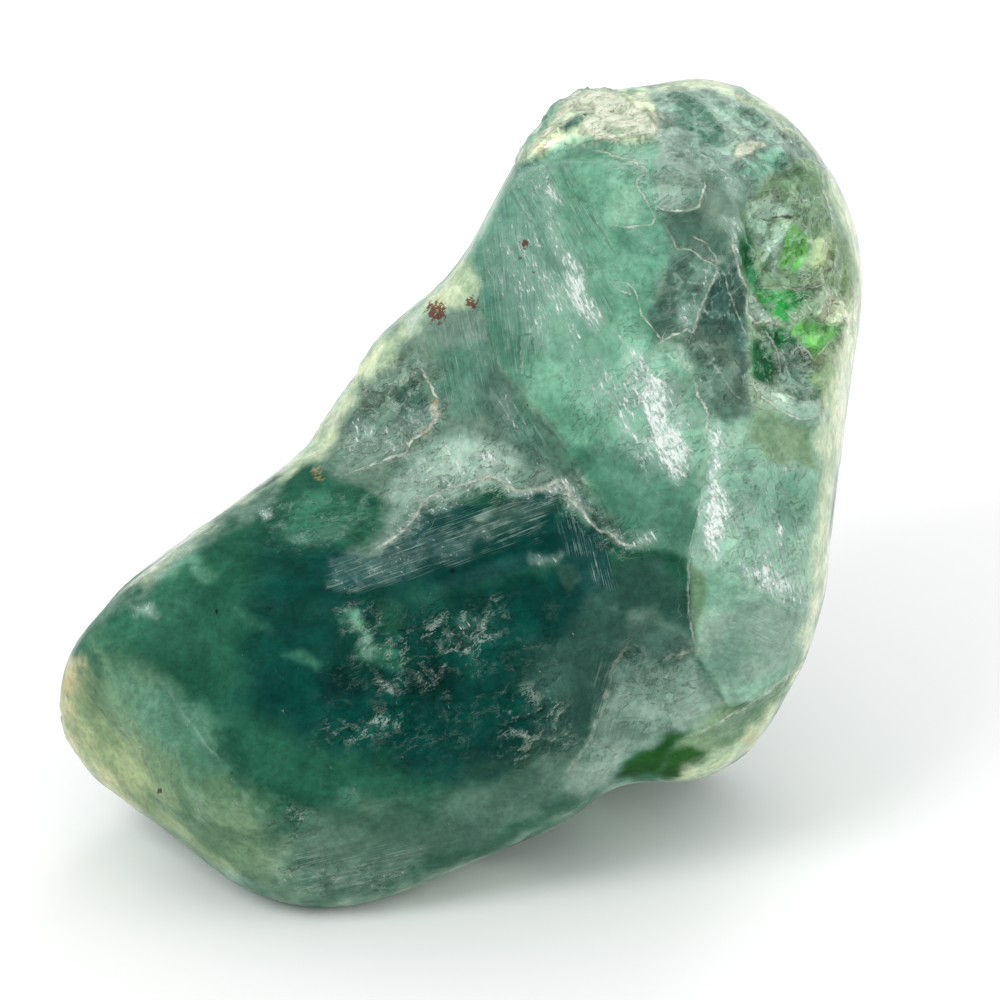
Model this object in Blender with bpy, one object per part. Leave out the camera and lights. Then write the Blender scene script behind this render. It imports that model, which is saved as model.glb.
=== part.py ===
"""A raw fluorite stone: one broken, worn lump that stands on a flat face.

The stone is an ice-blue-green mass shaped like a boot. Its toe points to -X, its upright leg
leans to +X, and its front looks to -Y. It starts as an icosphere. Every vertex slides along its
own ray from the stone's core until it meets the worn surface, which is worked out as one formula:
a swollen outline, trimmed by the broad facets of two lumps, hollowed by shell-shaped breaks, and
notched along the four cleavage planes that every fluorite crystal has. Steps and recesses sink
the skin a little more. The mesh is then worn, thinned and sawn flat.

Metres in Blender, millimetres in the tables. The tables use the sight frame: right, up and
towards the eye, as seen by someone who looks down on the front of the stone at SIGHT_ELEVATION.
"""

import math

import bmesh
import bpy
import numpy as np
from mathutils import Matrix, Vector, noise

MM = 0.001

# Driving dimensions
SIGHT_ELEVATION = math.radians(30.0)
CORE_HEIGHT = 43.8
FRONT_SWELL = 46.0
BACK_SWELL = 47.0
RIM_FULLNESS = 2.9
ICOSPHERE_LEVEL = 8
START_RADIUS = 110.0
HALVINGS = 24
SMOOTHING_STEPS = 4
TARGET_TRIANGLES = 9300

# The stone's outline in the sight frame, right and up from the core, anticlockwise from the right
OUTLINE = [
    (46.6, 5.0),
    (47.7, 15.5),
    (49.8, 28.8),
    (51.5, 37.4),
    (52.3, 47.0),
    (50.1, 55.5),
    (46.1, 63.5),
    (40.5, 70.1),
    (33.3, 74.9),
    (25.1, 77.3),
    (16.2, 76.0),
    (8.0, 75.6),
    (4.0, 74.0),
    (-1.8, 67.2),
    (-7.0, 58.6),
    (-11.0, 50.6),
    (-14.7, 45.1),
    (-22.1, 38.4),
    (-28.5, 31.7),
    (-33.6, 24.5),
    (-38.9, 17.3),
    (-53.8, 5.6),
    (-69.6, -7.4),
    (-76.3, -16.2),
    (-78.2, -25.4),
    (-73.9, -33.0),
    (-59.4, -43.2),
    (-47.0, -52.3),
    (-39.8, -54.9),
    (-31.8, -55.2),
    (-16.2, -49.8),
    (4.3, -41.0),
    (11.7, -36.2),
    (15.5, -35.0),
    (25.3, -34.9),
    (33.8, -30.4),
    (39.0, -22.6),
    (43.2, -14.1),
    (45.4, -4.8),
]

# Broad facets of the two lumps that the stone is made of: a point on each, right, up and towards
# the eye, then how far its face is turned to the right and tipped up, in degrees, and how softly
# its edges are worn, in millimetres
TOE_FACETS = {
    "saddle": ((-17.6, 17.0, 31.0), -12.0, 28.0, 2.0),
    "saddle_right": ((3.2, 19.2, 26.0), 35.6, 31.0, 1.6),
    "toe_front": ((-17.6, -12.8, 33.5), -4.0, -2.0, 3.0),
    "toe_left_front": ((-50.0, -12.0, 27.5), -20.0, 3.0, 4.0),
    "toe_side": ((-64.5, -26.0, 20.0), -52.0, -24.0, 2.0),
    "toe_low": ((-40.0, -45.0, 26.0), -20.0, -42.0, 3.0),
    "toe_top": ((-46.0, 4.5, 19.0), -14.0, 44.0, 2.4),
    "toe_tip": ((-80.0, -22.0, 10.0), -66.0, 2.0, 3.0),
    "belly_low": ((-9.6, -39.0, 30.5), 4.0, -37.0, 4.0),
    "belly_right": ((14.0, -8.0, 33.0), 10.0, 4.0, 4.0),
    "frosted": ((13.0, -26.0, 26.5), 16.0, -38.0, 3.0),
    "toe_right": ((31.0, -10.0, 0.0), 92.0, 0.0, 3.0),
    "back_toe": ((-44.0, -16.0, -27.0), 194.0, -8.0, 2.5),
    "back_toe_low": ((-40.0, -36.0, -20.0), 190.0, -44.0, 2.5),
    "back_toe_side": ((-62.0, -16.0, -19.0), 232.0, 8.0, 3.0),
    "back_saddle": ((-22.0, 20.0, -28.0), 196.0, 30.0, 2.5),
    "back_belly": ((4.0, -12.0, -38.0), 172.0, -6.0, 3.0),
}
LEG_FACETS = {
    "leg_left": ((3.0, 36.8, 26.5), -27.0, -3.0, 1.5),
    "leg_middle": ((25.6, 41.6, 35.0), 5.0, 7.0, 1.2),
    "leg_right": ((37.6, 0.0, 34.0), 27.0, -4.0, 2.0),
    "leg_window": ((40.0, 45.0, 28.5), 36.0, 11.0, 1.5),
    "leg_rim": ((49.0, 41.0, 13.0), 66.0, 5.0, 4.0),
    "leg_shoulder": ((41.0, 66.0, 15.0), 36.0, 40.0, 2.4),
    "crown": ((12.8, 74.0, 11.0), -10.0, 60.0, 1.6),
    "crown_right": ((30.0, 74.0, 11.0), 14.0, 56.0, 2.0),
    "leg_low": ((22.0, -25.0, 27.0), 16.0, -38.0, 3.0),
    "heel": ((37.0, -24.0, 19.0), 42.0, -42.0, 1.6),
    "back_leg": ((16.0, 40.0, -32.0), 186.0, 14.0, 2.5),
    "back_leg_left": ((-2.0, 44.0, -22.0), 226.0, 10.0, 2.5),
    "back_leg_middle": ((30.0, 14.0, -34.0), 156.0, -2.0, 2.0),
    "back_leg_right": ((42.0, 30.0, -22.0), 132.0, 6.0, 2.5),
    "back_crown": ((22.0, 67.0, -18.0), 190.0, 52.0, 2.5),
    "back_leg_low": ((20.0, -8.0, -38.0), 164.0, -10.0, 3.0),
}
LUMP_JOIN = 2.4
FACET_TO_RIM = 5.0

# Shell-shaped breaks: the centre of the ball that each one is part of, its radius, its edge
SHELL_BREAKS = {
    "fan": ((-7.0, 3.0, 92.0), 60.5, 0.8),
    "frosted_hollow": ((22.0, -31.0, 70.0), 44.5, 1.2),
    "smoky_high": ((22.0, 60.0, 52.0), 21.0, 0.6),
    "smoky_middle": ((27.0, 44.0, 56.0), 23.5, 0.6),
    "smoky_low": ((31.0, 26.0, 58.0), 24.0, 0.8),
    "right_dish": ((68.0, 20.0, 62.0), 42.0, 1.2),
    "crown_dish": ((28.0, 96.0, 36.0), 32.0, 1.0),
    "saddle_dish": ((-36.0, 42.0, 56.0), 40.0, 1.2),
    "heel_groove": ((52.0, -45.0, 37.0), 30.0, 1.0),
    "back_shell": ((-8.0, 26.0, -92.0), 60.0, 0.8),
    "back_toe_shell": ((-48.0, -10.0, -74.0), 47.0, 0.8),
    "back_low_shell": ((22.0, -4.0, -88.0), 52.0, 0.8),
}

# Cleavage notches: the centre of the octahedron that each one is part of, and its half height
NOTCHES = {
    "window_middle": ((42.0, 45.0, 32.5), 14.0),
    "window_left": ((36.0, 39.0, 36.5), 12.0),
    "window_lower": ((38.0, 31.0, 36.5), 12.0),
    "window_corner": ((47.0, 33.0, 29.5), 11.0),
    "window_top": ((39.0, 57.0, 31.0), 12.5),
}
LATTICE_TURN = (math.radians(24.0), math.radians(-18.0), math.radians(38.0))
NOTCH_EDGE = 0.5

# How the breaks wander off true: the length of a wave and its reach to each side
BREAK_WANDER = [(31.0, 1.5), (13.0, 0.4)]

# A piece that has come away from the front: the outline of the gap, its depth and its slope's width
RECESSES = {
    "green_window": (
        [(31.5, 53), (33, 42), (33, 34), (35, 27), (40, 23.5), (45, 24), (46.5, 31), (50, 38),
         (51, 45), (48, 54), (46, 62), (40, 63), (35, 60)], 1.3, 1.8),
}

# Steps left where a slab has come away: the line of the step, its drop and its reach
LEDGES = {
    "crust_ridge": ([(-34, 2), (-24, 4), (-17, 9.5), (-8, 13), (3, 11.5), (13, 5), (18, 2)], 2.4, 14.0),
    "pillow_edge": ([(26, 26), (27, 20), (28, 14), (26.5, 9), (24.5, 3), (24, -6), (24.5, -13)], 3.6, 9.0),
    "smoky_edge": ([(22, 66), (31, 52), (32.5, 38), (33, 24)], 1.2, 6.0),
    "saddle_rim": ([(-36, 15), (-27, 15.5), (-19, 19), (-17, 25), (-21, 31)], 1.0, 6.0),
    "crown_lip": ([(-8, 60), (-1, 65), (4, 66), (10, 68.5), (17, 67), (22, 70), (30, 71)], 1.4, 9.0),
}
BACK_LEDGES = {
    "back_slab": ([(-10, 62), (4, 52), (20, 34), (30, 18), (44, 2)], 2.4, 18.0),
    "back_low_slab": ([(-52, 0), (-38, -7), (-22, -6), (-8, -14), (8, -19), (26, -17)], 2.2, 14.0),
    "back_toe_slab": ([(-66, -12), (-54, -21), (-46, -38)], 1.6, 10.0),
}
LEDGE_RAMP = 1.8
LEDGE_FADE = 1.5
END_TAPER = 0.6
SIDE_BLEND = 6.0

# Slow swelling of the worn skin: the size of a swell and its height
SWELLS = [(26.0, 1.0), (11.0, 0.4), (5.0, 0.16)]

STONE_COLOUR = (0.07, 0.27, 0.20, 1.0)
STONE_ROUGHNESS = 0.38


def clear_scene():
    """Removes whatever objects the scene starts with."""
    for old in list(bpy.data.objects):
        bpy.data.objects.remove(old)


def smooth_max(a, b, width):
    """The larger of a and b, rounded over the given width where they cross."""
    overlap = np.maximum(width - np.abs(a - b), 0.0) / width
    return np.maximum(a, b) + overlap * overlap * width / 4


def outline_radius(angle):
    """How far the outline is from the core at an angle in the sight plane, as a smooth curve."""
    points = np.array(OUTLINE)
    turns = np.arctan2(points[:, 1], points[:, 0]) % math.tau
    order = np.argsort(turns)
    turns = turns[order]
    radii = np.hypot(points[:, 0], points[:, 1])[order]
    turns = np.concatenate([turns[-2:] - math.tau, turns, turns[:3] + math.tau])
    radii = np.concatenate([radii[-2:], radii, radii[:3]])
    slopes = np.gradient(radii, turns)
    angle = angle % math.tau
    i = np.clip(np.searchsorted(turns, angle, side="right") - 1, 0, len(turns) - 2)
    gap = turns[i + 1] - turns[i]
    t = (angle - turns[i]) / gap
    start = (2 * t**3 - 3 * t**2 + 1) * radii[i] + (t**3 - 2 * t**2 + t) * gap * slopes[i]
    end = (3 * t**2 - 2 * t**3) * radii[i + 1] + (t**3 - t**2) * gap * slopes[i + 1]
    return start + end


def facing(turn, tip):
    """The outward direction of a face that is turned right and tipped up, in degrees."""
    turn = math.radians(turn)
    tip = math.radians(tip)
    return np.array([math.sin(turn) * math.cos(tip), math.sin(tip), math.cos(turn) * math.cos(tip)])


def swollen_outline(points):
    """Below zero inside the outline blown up like a cushion, measured along the rays."""
    across = np.hypot(points[:, 0], points[:, 1])
    rim = outline_radius(np.arctan2(points[:, 1], points[:, 0]))
    swell = np.where(points[:, 2] > 0, FRONT_SWELL, BACK_SWELL)
    fullness = (across / rim) ** RIM_FULLNESS + (np.abs(points[:, 2]) / swell) ** RIM_FULLNESS
    return np.linalg.norm(points, axis=1) * (1 - fullness ** (-1 / RIM_FULLNESS))


def wandering(points):
    """The points moved a little to and fro, so that what they are tested against looks broken."""
    for wave, reach in BREAK_WANDER:
        points = points + reach * np.sin(points[:, [1, 2, 0]] * (math.tau / wave) + wave)
    return points


def lump(points, facets):
    """Below zero inside the lump that a set of facets bounds."""
    level = np.full(len(points), -START_RADIUS)
    for place, turn, tip, edge in facets.values():
        level = smooth_max(level, (points - np.array(place)) @ facing(turn, tip), edge)
    return level


def outside(points, lattice):
    """Below zero inside the stone and above zero outside it, in millimetres or so."""
    lumps = -smooth_max(-lump(points, TOE_FACETS), -lump(points, LEG_FACETS), LUMP_JOIN)
    level = smooth_max(swollen_outline(points), lumps, FACET_TO_RIM)
    points = wandering(points)
    for centre, radius, edge in SHELL_BREAKS.values():
        level = smooth_max(level, radius - np.linalg.norm(points - np.array(centre), axis=1), edge)
    for centre, half_height in NOTCHES.values():
        reach = np.abs((points - np.array(centre)) @ lattice).sum(axis=1)
        level = smooth_max(level, (half_height - reach) / math.sqrt(3), NOTCH_EDGE)
    return level


def meet_surface(rays, lattice):
    """The distance along each ray from the core to the stone's surface, by halving."""
    near = np.zeros(len(rays))
    far = np.full(len(rays), START_RADIUS)
    for _ in range(HALVINGS):
        middle = (near + far) / 2
        inside = outside(rays * middle[:, None], lattice) < 0
        near = np.where(inside, middle, near)
        far = np.where(inside, far, middle)
    return (near + far) / 2


def line_distance(points, line):
    """How far each point is from a line of straight pieces, above zero on its left, and the share
    of the line's length that lies before the nearest place on it."""
    nearest = np.full(len(points), np.inf)
    side = np.zeros(len(points))
    place = np.zeros(len(points))
    walked = 0.0
    for start, end in zip(line, line[1:]):
        start, end = np.array(start, float), np.array(end, float)
        along = end - start
        length = math.hypot(along[0], along[1])
        share = np.clip((points[:, :2] - start) @ along / length**2, 0, 1)
        away = points[:, :2] - start - share[:, None] * along
        distance = np.hypot(away[:, 0], away[:, 1])
        turn = along[0] * away[:, 1] - along[1] * away[:, 0]
        closer = distance < nearest
        side = np.where(closer, np.sign(turn), side)
        place = np.where(closer, walked + share * length, place)
        nearest = np.minimum(nearest, distance)
        walked += length
    return nearest * side, place / walked


def within(points, outline):
    """Whether each point is inside a closed outline, by counting the edges to its right."""
    crossings = np.zeros(len(points), int)
    for start, end in zip(outline, outline[1:] + outline[:1]):
        rising = (points[:, 1] < start[1]) != (points[:, 1] < end[1])
        slant = (end[0] - start[0]) / ((end[1] - start[1]) or math.inf)
        crossings += rising & (points[:, 0] < start[0] + (points[:, 1] - start[1]) * slant)
    return crossings % 2 == 1


def drop_of_steps(points):
    """How far each point sinks below the ledges and into the recess of its own side of the stone."""
    depth_in_stone = points[:, 2]
    points = wandering(points)
    sunk = np.zeros(len(points))
    for ledges, towards in ((LEDGES, 1), (BACK_LEDGES, -1)):
        near_side = np.clip(towards * depth_in_stone / SIDE_BLEND, 0, 1)
        for line, drop, reach in ledges.values():
            distance, place = line_distance(points, line)
            below = -distance
            tapering = np.clip(4 * place * (1 - place), 0, 1) ** END_TAPER
            fading = np.clip(1 - below / reach, 0, 1) ** LEDGE_FADE
            sunk += near_side * drop * tapering * fading * np.clip(below / LEDGE_RAMP, 0, 1)
    for outline, depth, slope_width in RECESSES.values():
        distance, place = line_distance(points, outline + outline[:1])
        inwards = np.abs(distance) * within(points, outline)
        sunk += np.where(depth_in_stone > 0, depth * np.clip(inwards / slope_width, 0, 1), 0)
    return sunk


def worn_skin(point):
    """The slow swelling of the skin at a point: flat where it is zero."""
    height = 0.0
    for number, (size, tall) in enumerate(SWELLS):
        shift = Vector((31.0 * number, 17.0, 5.0))
        height += tall * noise.noise(Vector(point) / size + shift)
    return height


def stone_surface(mesh):
    """Slides each vertex of the sphere along its ray until it lies on the stone's skin."""
    rays = np.array([vertex.co.normalized() for vertex in mesh.vertices])
    turn = Matrix.Identity(3)
    for axis, angle in zip("XYZ", LATTICE_TURN):
        turn = Matrix.Rotation(angle, 3, axis) @ turn
    distance = meet_surface(rays, np.array(turn))
    points = rays * distance[:, None]
    distance += np.array([worn_skin(point) for point in points]) - drop_of_steps(points)
    return rays * distance[:, None]


def to_standing(points):
    """Turns sight-frame millimetres into standing metres, with the ground at zero height."""
    right, up, near = points.T
    sine, cosine = math.sin(SIGHT_ELEVATION), math.cos(SIGHT_ELEVATION)
    back = up * sine - near * cosine
    height = up * cosine + near * sine + CORE_HEIGHT
    return np.stack([right, back, height], axis=1) * MM


def saw_flat(stone):
    """Cuts the stone off at the ground, which leaves the flat face that it stands on."""
    mesh = bmesh.new()
    mesh.from_mesh(stone.data)
    everything = mesh.verts[:] + mesh.edges[:] + mesh.faces[:]
    cut = bmesh.ops.bisect_plane(
        mesh, geom=everything, plane_co=(0, 0, 0), plane_no=(0, 0, -1), clear_outer=True
    )
    rim = [item for item in cut["geom_cut"] if isinstance(item, bmesh.types.BMEdge)]
    bmesh.ops.holes_fill(mesh, edges=rim, sides=0)
    bmesh.ops.triangulate(mesh, faces=[face for face in mesh.faces if len(face.verts) > 3])
    bmesh.ops.recalc_face_normals(mesh, faces=mesh.faces[:])
    mesh.to_mesh(stone.data)
    mesh.free()


def centre_on_ground(stone):
    """Puts the middle of the stone's box over the origin."""
    corners = np.array([vertex.co for vertex in stone.data.vertices])
    middle = (corners.min(axis=0) + corners.max(axis=0)) / 2
    stone.data.transform(Matrix.Translation((-middle[0], -middle[1], 0)))


def wear_and_thin(stone):
    """Rounds off the sharpest teeth, then drops triangles where the surface is flat."""
    wear = stone.modifiers.new("wear", "SMOOTH")
    wear.factor = 0.5
    wear.iterations = SMOOTHING_STEPS
    thinning = stone.modifiers.new("thinning", "DECIMATE")
    thinning.ratio = TARGET_TRIANGLES / len(stone.data.polygons)
    graph = bpy.context.evaluated_depsgraph_get()
    thinned = bpy.data.meshes.new_from_object(stone.evaluated_get(graph))
    stone.modifiers.clear()
    old = stone.data
    stone.data = thinned
    bpy.data.meshes.remove(old)


def fluorite_material():
    """Deep sea-green fluorite with a waxy, half-frosted skin."""
    material = bpy.data.materials.new("fluorite")
    material.use_nodes = True
    shader = material.node_tree.nodes["Principled BSDF"]
    shader.inputs["Base Color"].default_value = STONE_COLOUR
    shader.inputs["Roughness"].default_value = STONE_ROUGHNESS
    shader.inputs["Metallic"].default_value = 0.0
    shader.inputs["IOR"].default_value = 1.43
    return material


def standing_stone(collection):
    """The whole stone as one closed solid, standing on the ground with its core over the origin."""
    bpy.ops.mesh.primitive_ico_sphere_add(subdivisions=ICOSPHERE_LEVEL, radius=1.0)
    stone = bpy.context.object
    stone.name = "fluorite_stone"
    stone.data.name = "fluorite_stone"
    for owner in list(stone.users_collection):
        owner.objects.unlink(stone)
    collection.objects.link(stone)
    skin = to_standing(stone_surface(stone.data)).astype(np.float32)
    stone.data.vertices.foreach_set("co", skin.ravel())
    stone.data.update()
    wear_and_thin(stone)
    saw_flat(stone)
    stone.data.materials.append(fluorite_material())
    return stone


def main():
    clear_scene()
    collection = bpy.data.collections.new("raw_fluorite")
    bpy.context.scene.collection.children.link(collection)
    centre_on_ground(standing_stone(collection))


if __name__ == "__main__":
    main()
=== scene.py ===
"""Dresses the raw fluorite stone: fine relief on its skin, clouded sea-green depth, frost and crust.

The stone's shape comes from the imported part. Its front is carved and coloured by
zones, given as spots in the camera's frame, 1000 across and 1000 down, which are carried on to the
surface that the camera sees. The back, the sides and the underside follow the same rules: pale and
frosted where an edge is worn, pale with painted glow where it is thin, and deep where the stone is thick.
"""

import math

import bmesh
import bpy
import numpy as np
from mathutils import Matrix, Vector, noise
from mathutils.bvhtree import BVHTree


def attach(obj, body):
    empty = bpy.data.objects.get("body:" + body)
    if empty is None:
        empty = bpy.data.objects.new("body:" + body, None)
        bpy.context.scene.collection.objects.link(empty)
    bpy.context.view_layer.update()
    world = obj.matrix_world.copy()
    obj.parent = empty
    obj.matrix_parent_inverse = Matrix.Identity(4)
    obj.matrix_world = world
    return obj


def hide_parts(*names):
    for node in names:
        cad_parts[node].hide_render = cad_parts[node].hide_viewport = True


MM = 0.001

# The sight frame: millimetres right, up and towards the eye, from the stone's core
SIGHT_ELEVATION = math.radians(30.0)
CORE = np.array([12.486, -4.686, 43.8])
EYE_DISTANCE = 1100.0
FRAME_WIDTH = 160.0
FRAME_MIDDLE = (-6.4, 9.6)
SPOT = FRAME_WIDTH / 1000
STREAK_TILT = math.radians(28)

# The skin's mesh
GRAIN_OF_MESH = 1.15
COARSE_FAIRING = 5
FINE_FAIRING = 3
BASE_HEIGHT = 0.02
FINE_FACING = 0.12


def sight_frame(points):
    """World metres as millimetres right, up and towards the eye from the core."""
    right, back, height = (points / MM - CORE).T
    sine, cosine = math.sin(SIGHT_ELEVATION), math.cos(SIGHT_ELEVATION)
    return np.stack([right, back * sine + height * cosine, height * sine - back * cosine], axis=1)


def picture_spots(seen):
    """Where sight-frame points show in the camera's frame, 1000 across and 1000 down."""
    grow = EYE_DISTANCE / (EYE_DISTANCE - seen[:, 2]) / SPOT
    across = 500 + (seen[:, 0] - FRAME_MIDDLE[0]) * grow
    down = 500 - (seen[:, 1] - FRAME_MIDDLE[1]) * grow
    return np.stack([across, down], axis=1)


def ease(value, low, high):
    """Zero below low, one above high, and a soft slope between."""
    t = np.clip((value - low) / (high - low), 0, 1)
    return t * t * (3 - 2 * t)


def rumple(points, size, layers=1, seed=0.0):
    """Smooth noise of about -1 to 1 with lumps of a size in millimetres, and finer, weaker ones added."""
    total = np.zeros(len(points))
    for layer in range(layers):
        turn = seed + layer
        shift = Vector((turn * 17.3, turn * 5.1, turn * -9.7))
        lumps = np.array([noise.noise(Vector(p) + shift) for p in points * (2**layer / size)])
        total += lumps / 2**layer
    return total


def cell_numbers(cells, seed):
    """Three steady random numbers from 0 to 1 for each cell of a lattice."""
    key = cells[:, 0] * 73856093 ^ cells[:, 1] * 19349663 ^ cells[:, 2] * 83492791 ^ seed * 2654435761
    numbers = []
    for turn in (12.9898, 78.233, 37.719):
        numbers.append(np.modf(np.abs(np.sin((key % 99991) * turn) * 43758.5453))[0])
    return np.stack(numbers, axis=1)


def chips(points, size, seed):
    """Broken crystal: height of the chip that a point lies on, the chip's own tone from 0 to 1, and
    the distance in millimetres to the chip's edge."""
    cell = np.floor(points / size).astype(np.int64)
    nearest = np.full(len(points), np.inf)
    second = np.full(len(points), np.inf)
    height = np.zeros(len(points))
    tone = np.zeros(len(points))
    for step in np.ndindex(3, 3, 3):
        corner = cell + np.array(step) - 1
        numbers = cell_numbers(corner, seed)
        away = points - (corner + 0.1 + 0.8 * numbers) * size
        distance = np.sqrt((away**2).sum(axis=1))
        closer = distance < nearest
        second = np.where(closer, nearest, np.minimum(second, distance))
        nearest = np.where(closer, distance, nearest)
        slant = cell_numbers(corner, seed + 7) - 0.5
        height = np.where(closer, (away * slant).sum(axis=1) / size * 2 + numbers[:, 0] - 0.5, height)
        tone = np.where(closer, numbers[:, 1], tone)
    return height, tone, (second - nearest) / 2


def around(spots, places, margin):
    """The numbers of the spots that lie no further than a margin outside the box of some places."""
    low = np.min(places, axis=0) - margin
    high = np.max(places, axis=0) + margin
    return np.nonzero(((spots > low) & (spots < high)).all(axis=1))[0]


def line_reach(spots, line, margin=110.0):
    """Distance from each spot to a line, below zero on its right as it is walked, and the share of
    the line that lies before the nearest place. Spots beyond the margin aren't measured."""
    reach = np.full(len(spots), margin)
    shares = np.zeros(len(spots))
    near = around(spots, line, margin)
    close_spots = spots[near]
    nearest = np.full(len(near), margin)
    side = np.ones(len(near))
    place = np.zeros(len(near))
    walked = 0.0
    for start, end in zip(line, line[1:]):
        start, end = np.array(start, float), np.array(end, float)
        along = end - start
        length = math.hypot(along[0], along[1])
        share = np.clip((close_spots - start) @ along / length**2, 0, 1)
        away = close_spots - start - share[:, None] * along
        distance = np.hypot(away[:, 0], away[:, 1])
        closer = distance < nearest
        side = np.where(closer, np.sign(along[1] * away[:, 0] - along[0] * away[:, 1]), side)
        place = np.where(closer, walked + share * length, place)
        nearest = np.minimum(nearest, distance)
        walked += length
    reach[near] = nearest * side
    shares[near] = place / walked
    return reach, shares


def inside_by(spots, outline, margin=40.0):
    """How far inside an outline each spot lies, below zero outside it."""
    closed = outline + outline[:1]
    reach = np.full(len(spots), -margin)
    near = around(spots, outline, margin)
    close_spots = spots[near]
    crossings = np.zeros(len(near), int)
    for start, end in zip(closed, closed[1:]):
        passing = (close_spots[:, 1] < start[1]) != (close_spots[:, 1] < end[1])
        slant = (end[0] - start[0]) / ((end[1] - start[1]) or math.inf)
        crossings += passing & (close_spots[:, 0] < start[0] + (close_spots[:, 1] - start[1]) * slant)
    distance = np.abs(line_reach(close_spots, closed, margin)[0])
    reach[near] = np.where(crossings % 2 == 1, distance, -distance)
    return reach


class Skin:
    """The stone's surface while it is carved: its points, how they face, and who neighbours whom."""

    def __init__(self, mesh):
        self.mesh = mesh
        count = len(mesh.vertices)
        self.points = np.empty(count * 3)
        mesh.vertices.foreach_get("co", self.points)
        self.points = self.points.reshape(-1, 3)
        self.edges = np.empty(len(mesh.edges) * 2, np.int64)
        mesh.edges.foreach_get("vertices", self.edges)
        self.edges = self.edges.reshape(-1, 2)
        self.degree = np.bincount(self.edges.ravel(), minlength=count)

    def neighbour_mean(self, values):
        """The mean of a value, or of each column of values, over each point's neighbours."""
        if values.ndim > 1:
            return np.stack([self.neighbour_mean(column) for column in values.T], axis=1)
        a, b = self.edges.T
        count = len(self.degree)
        total = np.bincount(a, weights=values[b], minlength=count)
        total += np.bincount(b, weights=values[a], minlength=count)
        return total / self.degree

    def spread(self, values, steps):
        """A value smoothed over the surface."""
        for _ in range(steps):
            values = (values + self.neighbour_mean(values)) / 2
        return values

    def fair(self, steps):
        """Smooths the points and keeps the resting face flat."""
        resting = self.points[:, 2] < BASE_HEIGHT * MM
        points = self.spread(self.points, steps)
        points[resting, 2] = 0.0
        self.move_to(points)

    def move_to(self, points):
        """Takes the points as the new surface and works out which way they face."""
        points[:, 2] = np.maximum(points[:, 2], 0.0)
        self.points = points
        self.mesh.vertices.foreach_set("co", points.astype(np.float32).ravel())
        self.mesh.update()
        normals = np.empty(len(points) * 3)
        self.mesh.vertices.foreach_get("normal", normals)
        self.normals = normals.reshape(-1, 3)
        self.seen = sight_frame(self.points)
        sine, cosine = math.sin(SIGHT_ELEVATION), math.cos(SIGHT_ELEVATION)
        self.towards_eye = self.normals[:, 2] * sine - self.normals[:, 1] * cosine
        self.spots = picture_spots(self.seen)

    def raise_by(self, heights):
        """Lifts the surface along its own facing by heights in millimetres, never the resting face."""
        free = ease(self.points[:, 2] / MM, 0.3, 2.5)
        self.move_to(self.points + self.normals * (heights * free * MM)[:, None])


def stone_skin(node):
    """An even mesh of the part's solid, worn smooth, and twice as fine on the front as behind."""
    skin = bpy.data.objects.new("fluorite_skin", node.data.copy())
    bpy.context.scene.collection.objects.link(skin)
    skin.data.materials.clear()
    remesh = skin.modifiers.new("even_mesh", "REMESH")
    remesh.mode = "VOXEL"
    remesh.voxel_size = GRAIN_OF_MESH * MM
    remesh.use_smooth_shade = True
    graph = bpy.context.evaluated_depsgraph_get()
    mesh = bpy.data.meshes.new_from_object(skin.evaluated_get(graph))
    skin.modifiers.clear()
    skin.data = mesh
    mesh.name = "fluorite_skin"
    coarse = Skin(mesh)
    coarse.fair(COARSE_FAIRING)
    shape = bmesh.new()
    shape.from_mesh(mesh)
    shape.verts.ensure_lookup_table()
    facing = coarse.towards_eye
    front = [edge for edge in shape.edges if max(facing[v.index] for v in edge.verts) > FINE_FACING]
    bmesh.ops.subdivide_edges(shape, edges=front, cuts=1, use_grid_fill=True)
    bmesh.ops.triangulate(shape, faces=shape.faces[:])
    shape.to_mesh(mesh)
    shape.free()
    mesh.shade_smooth()
    return skin


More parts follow.
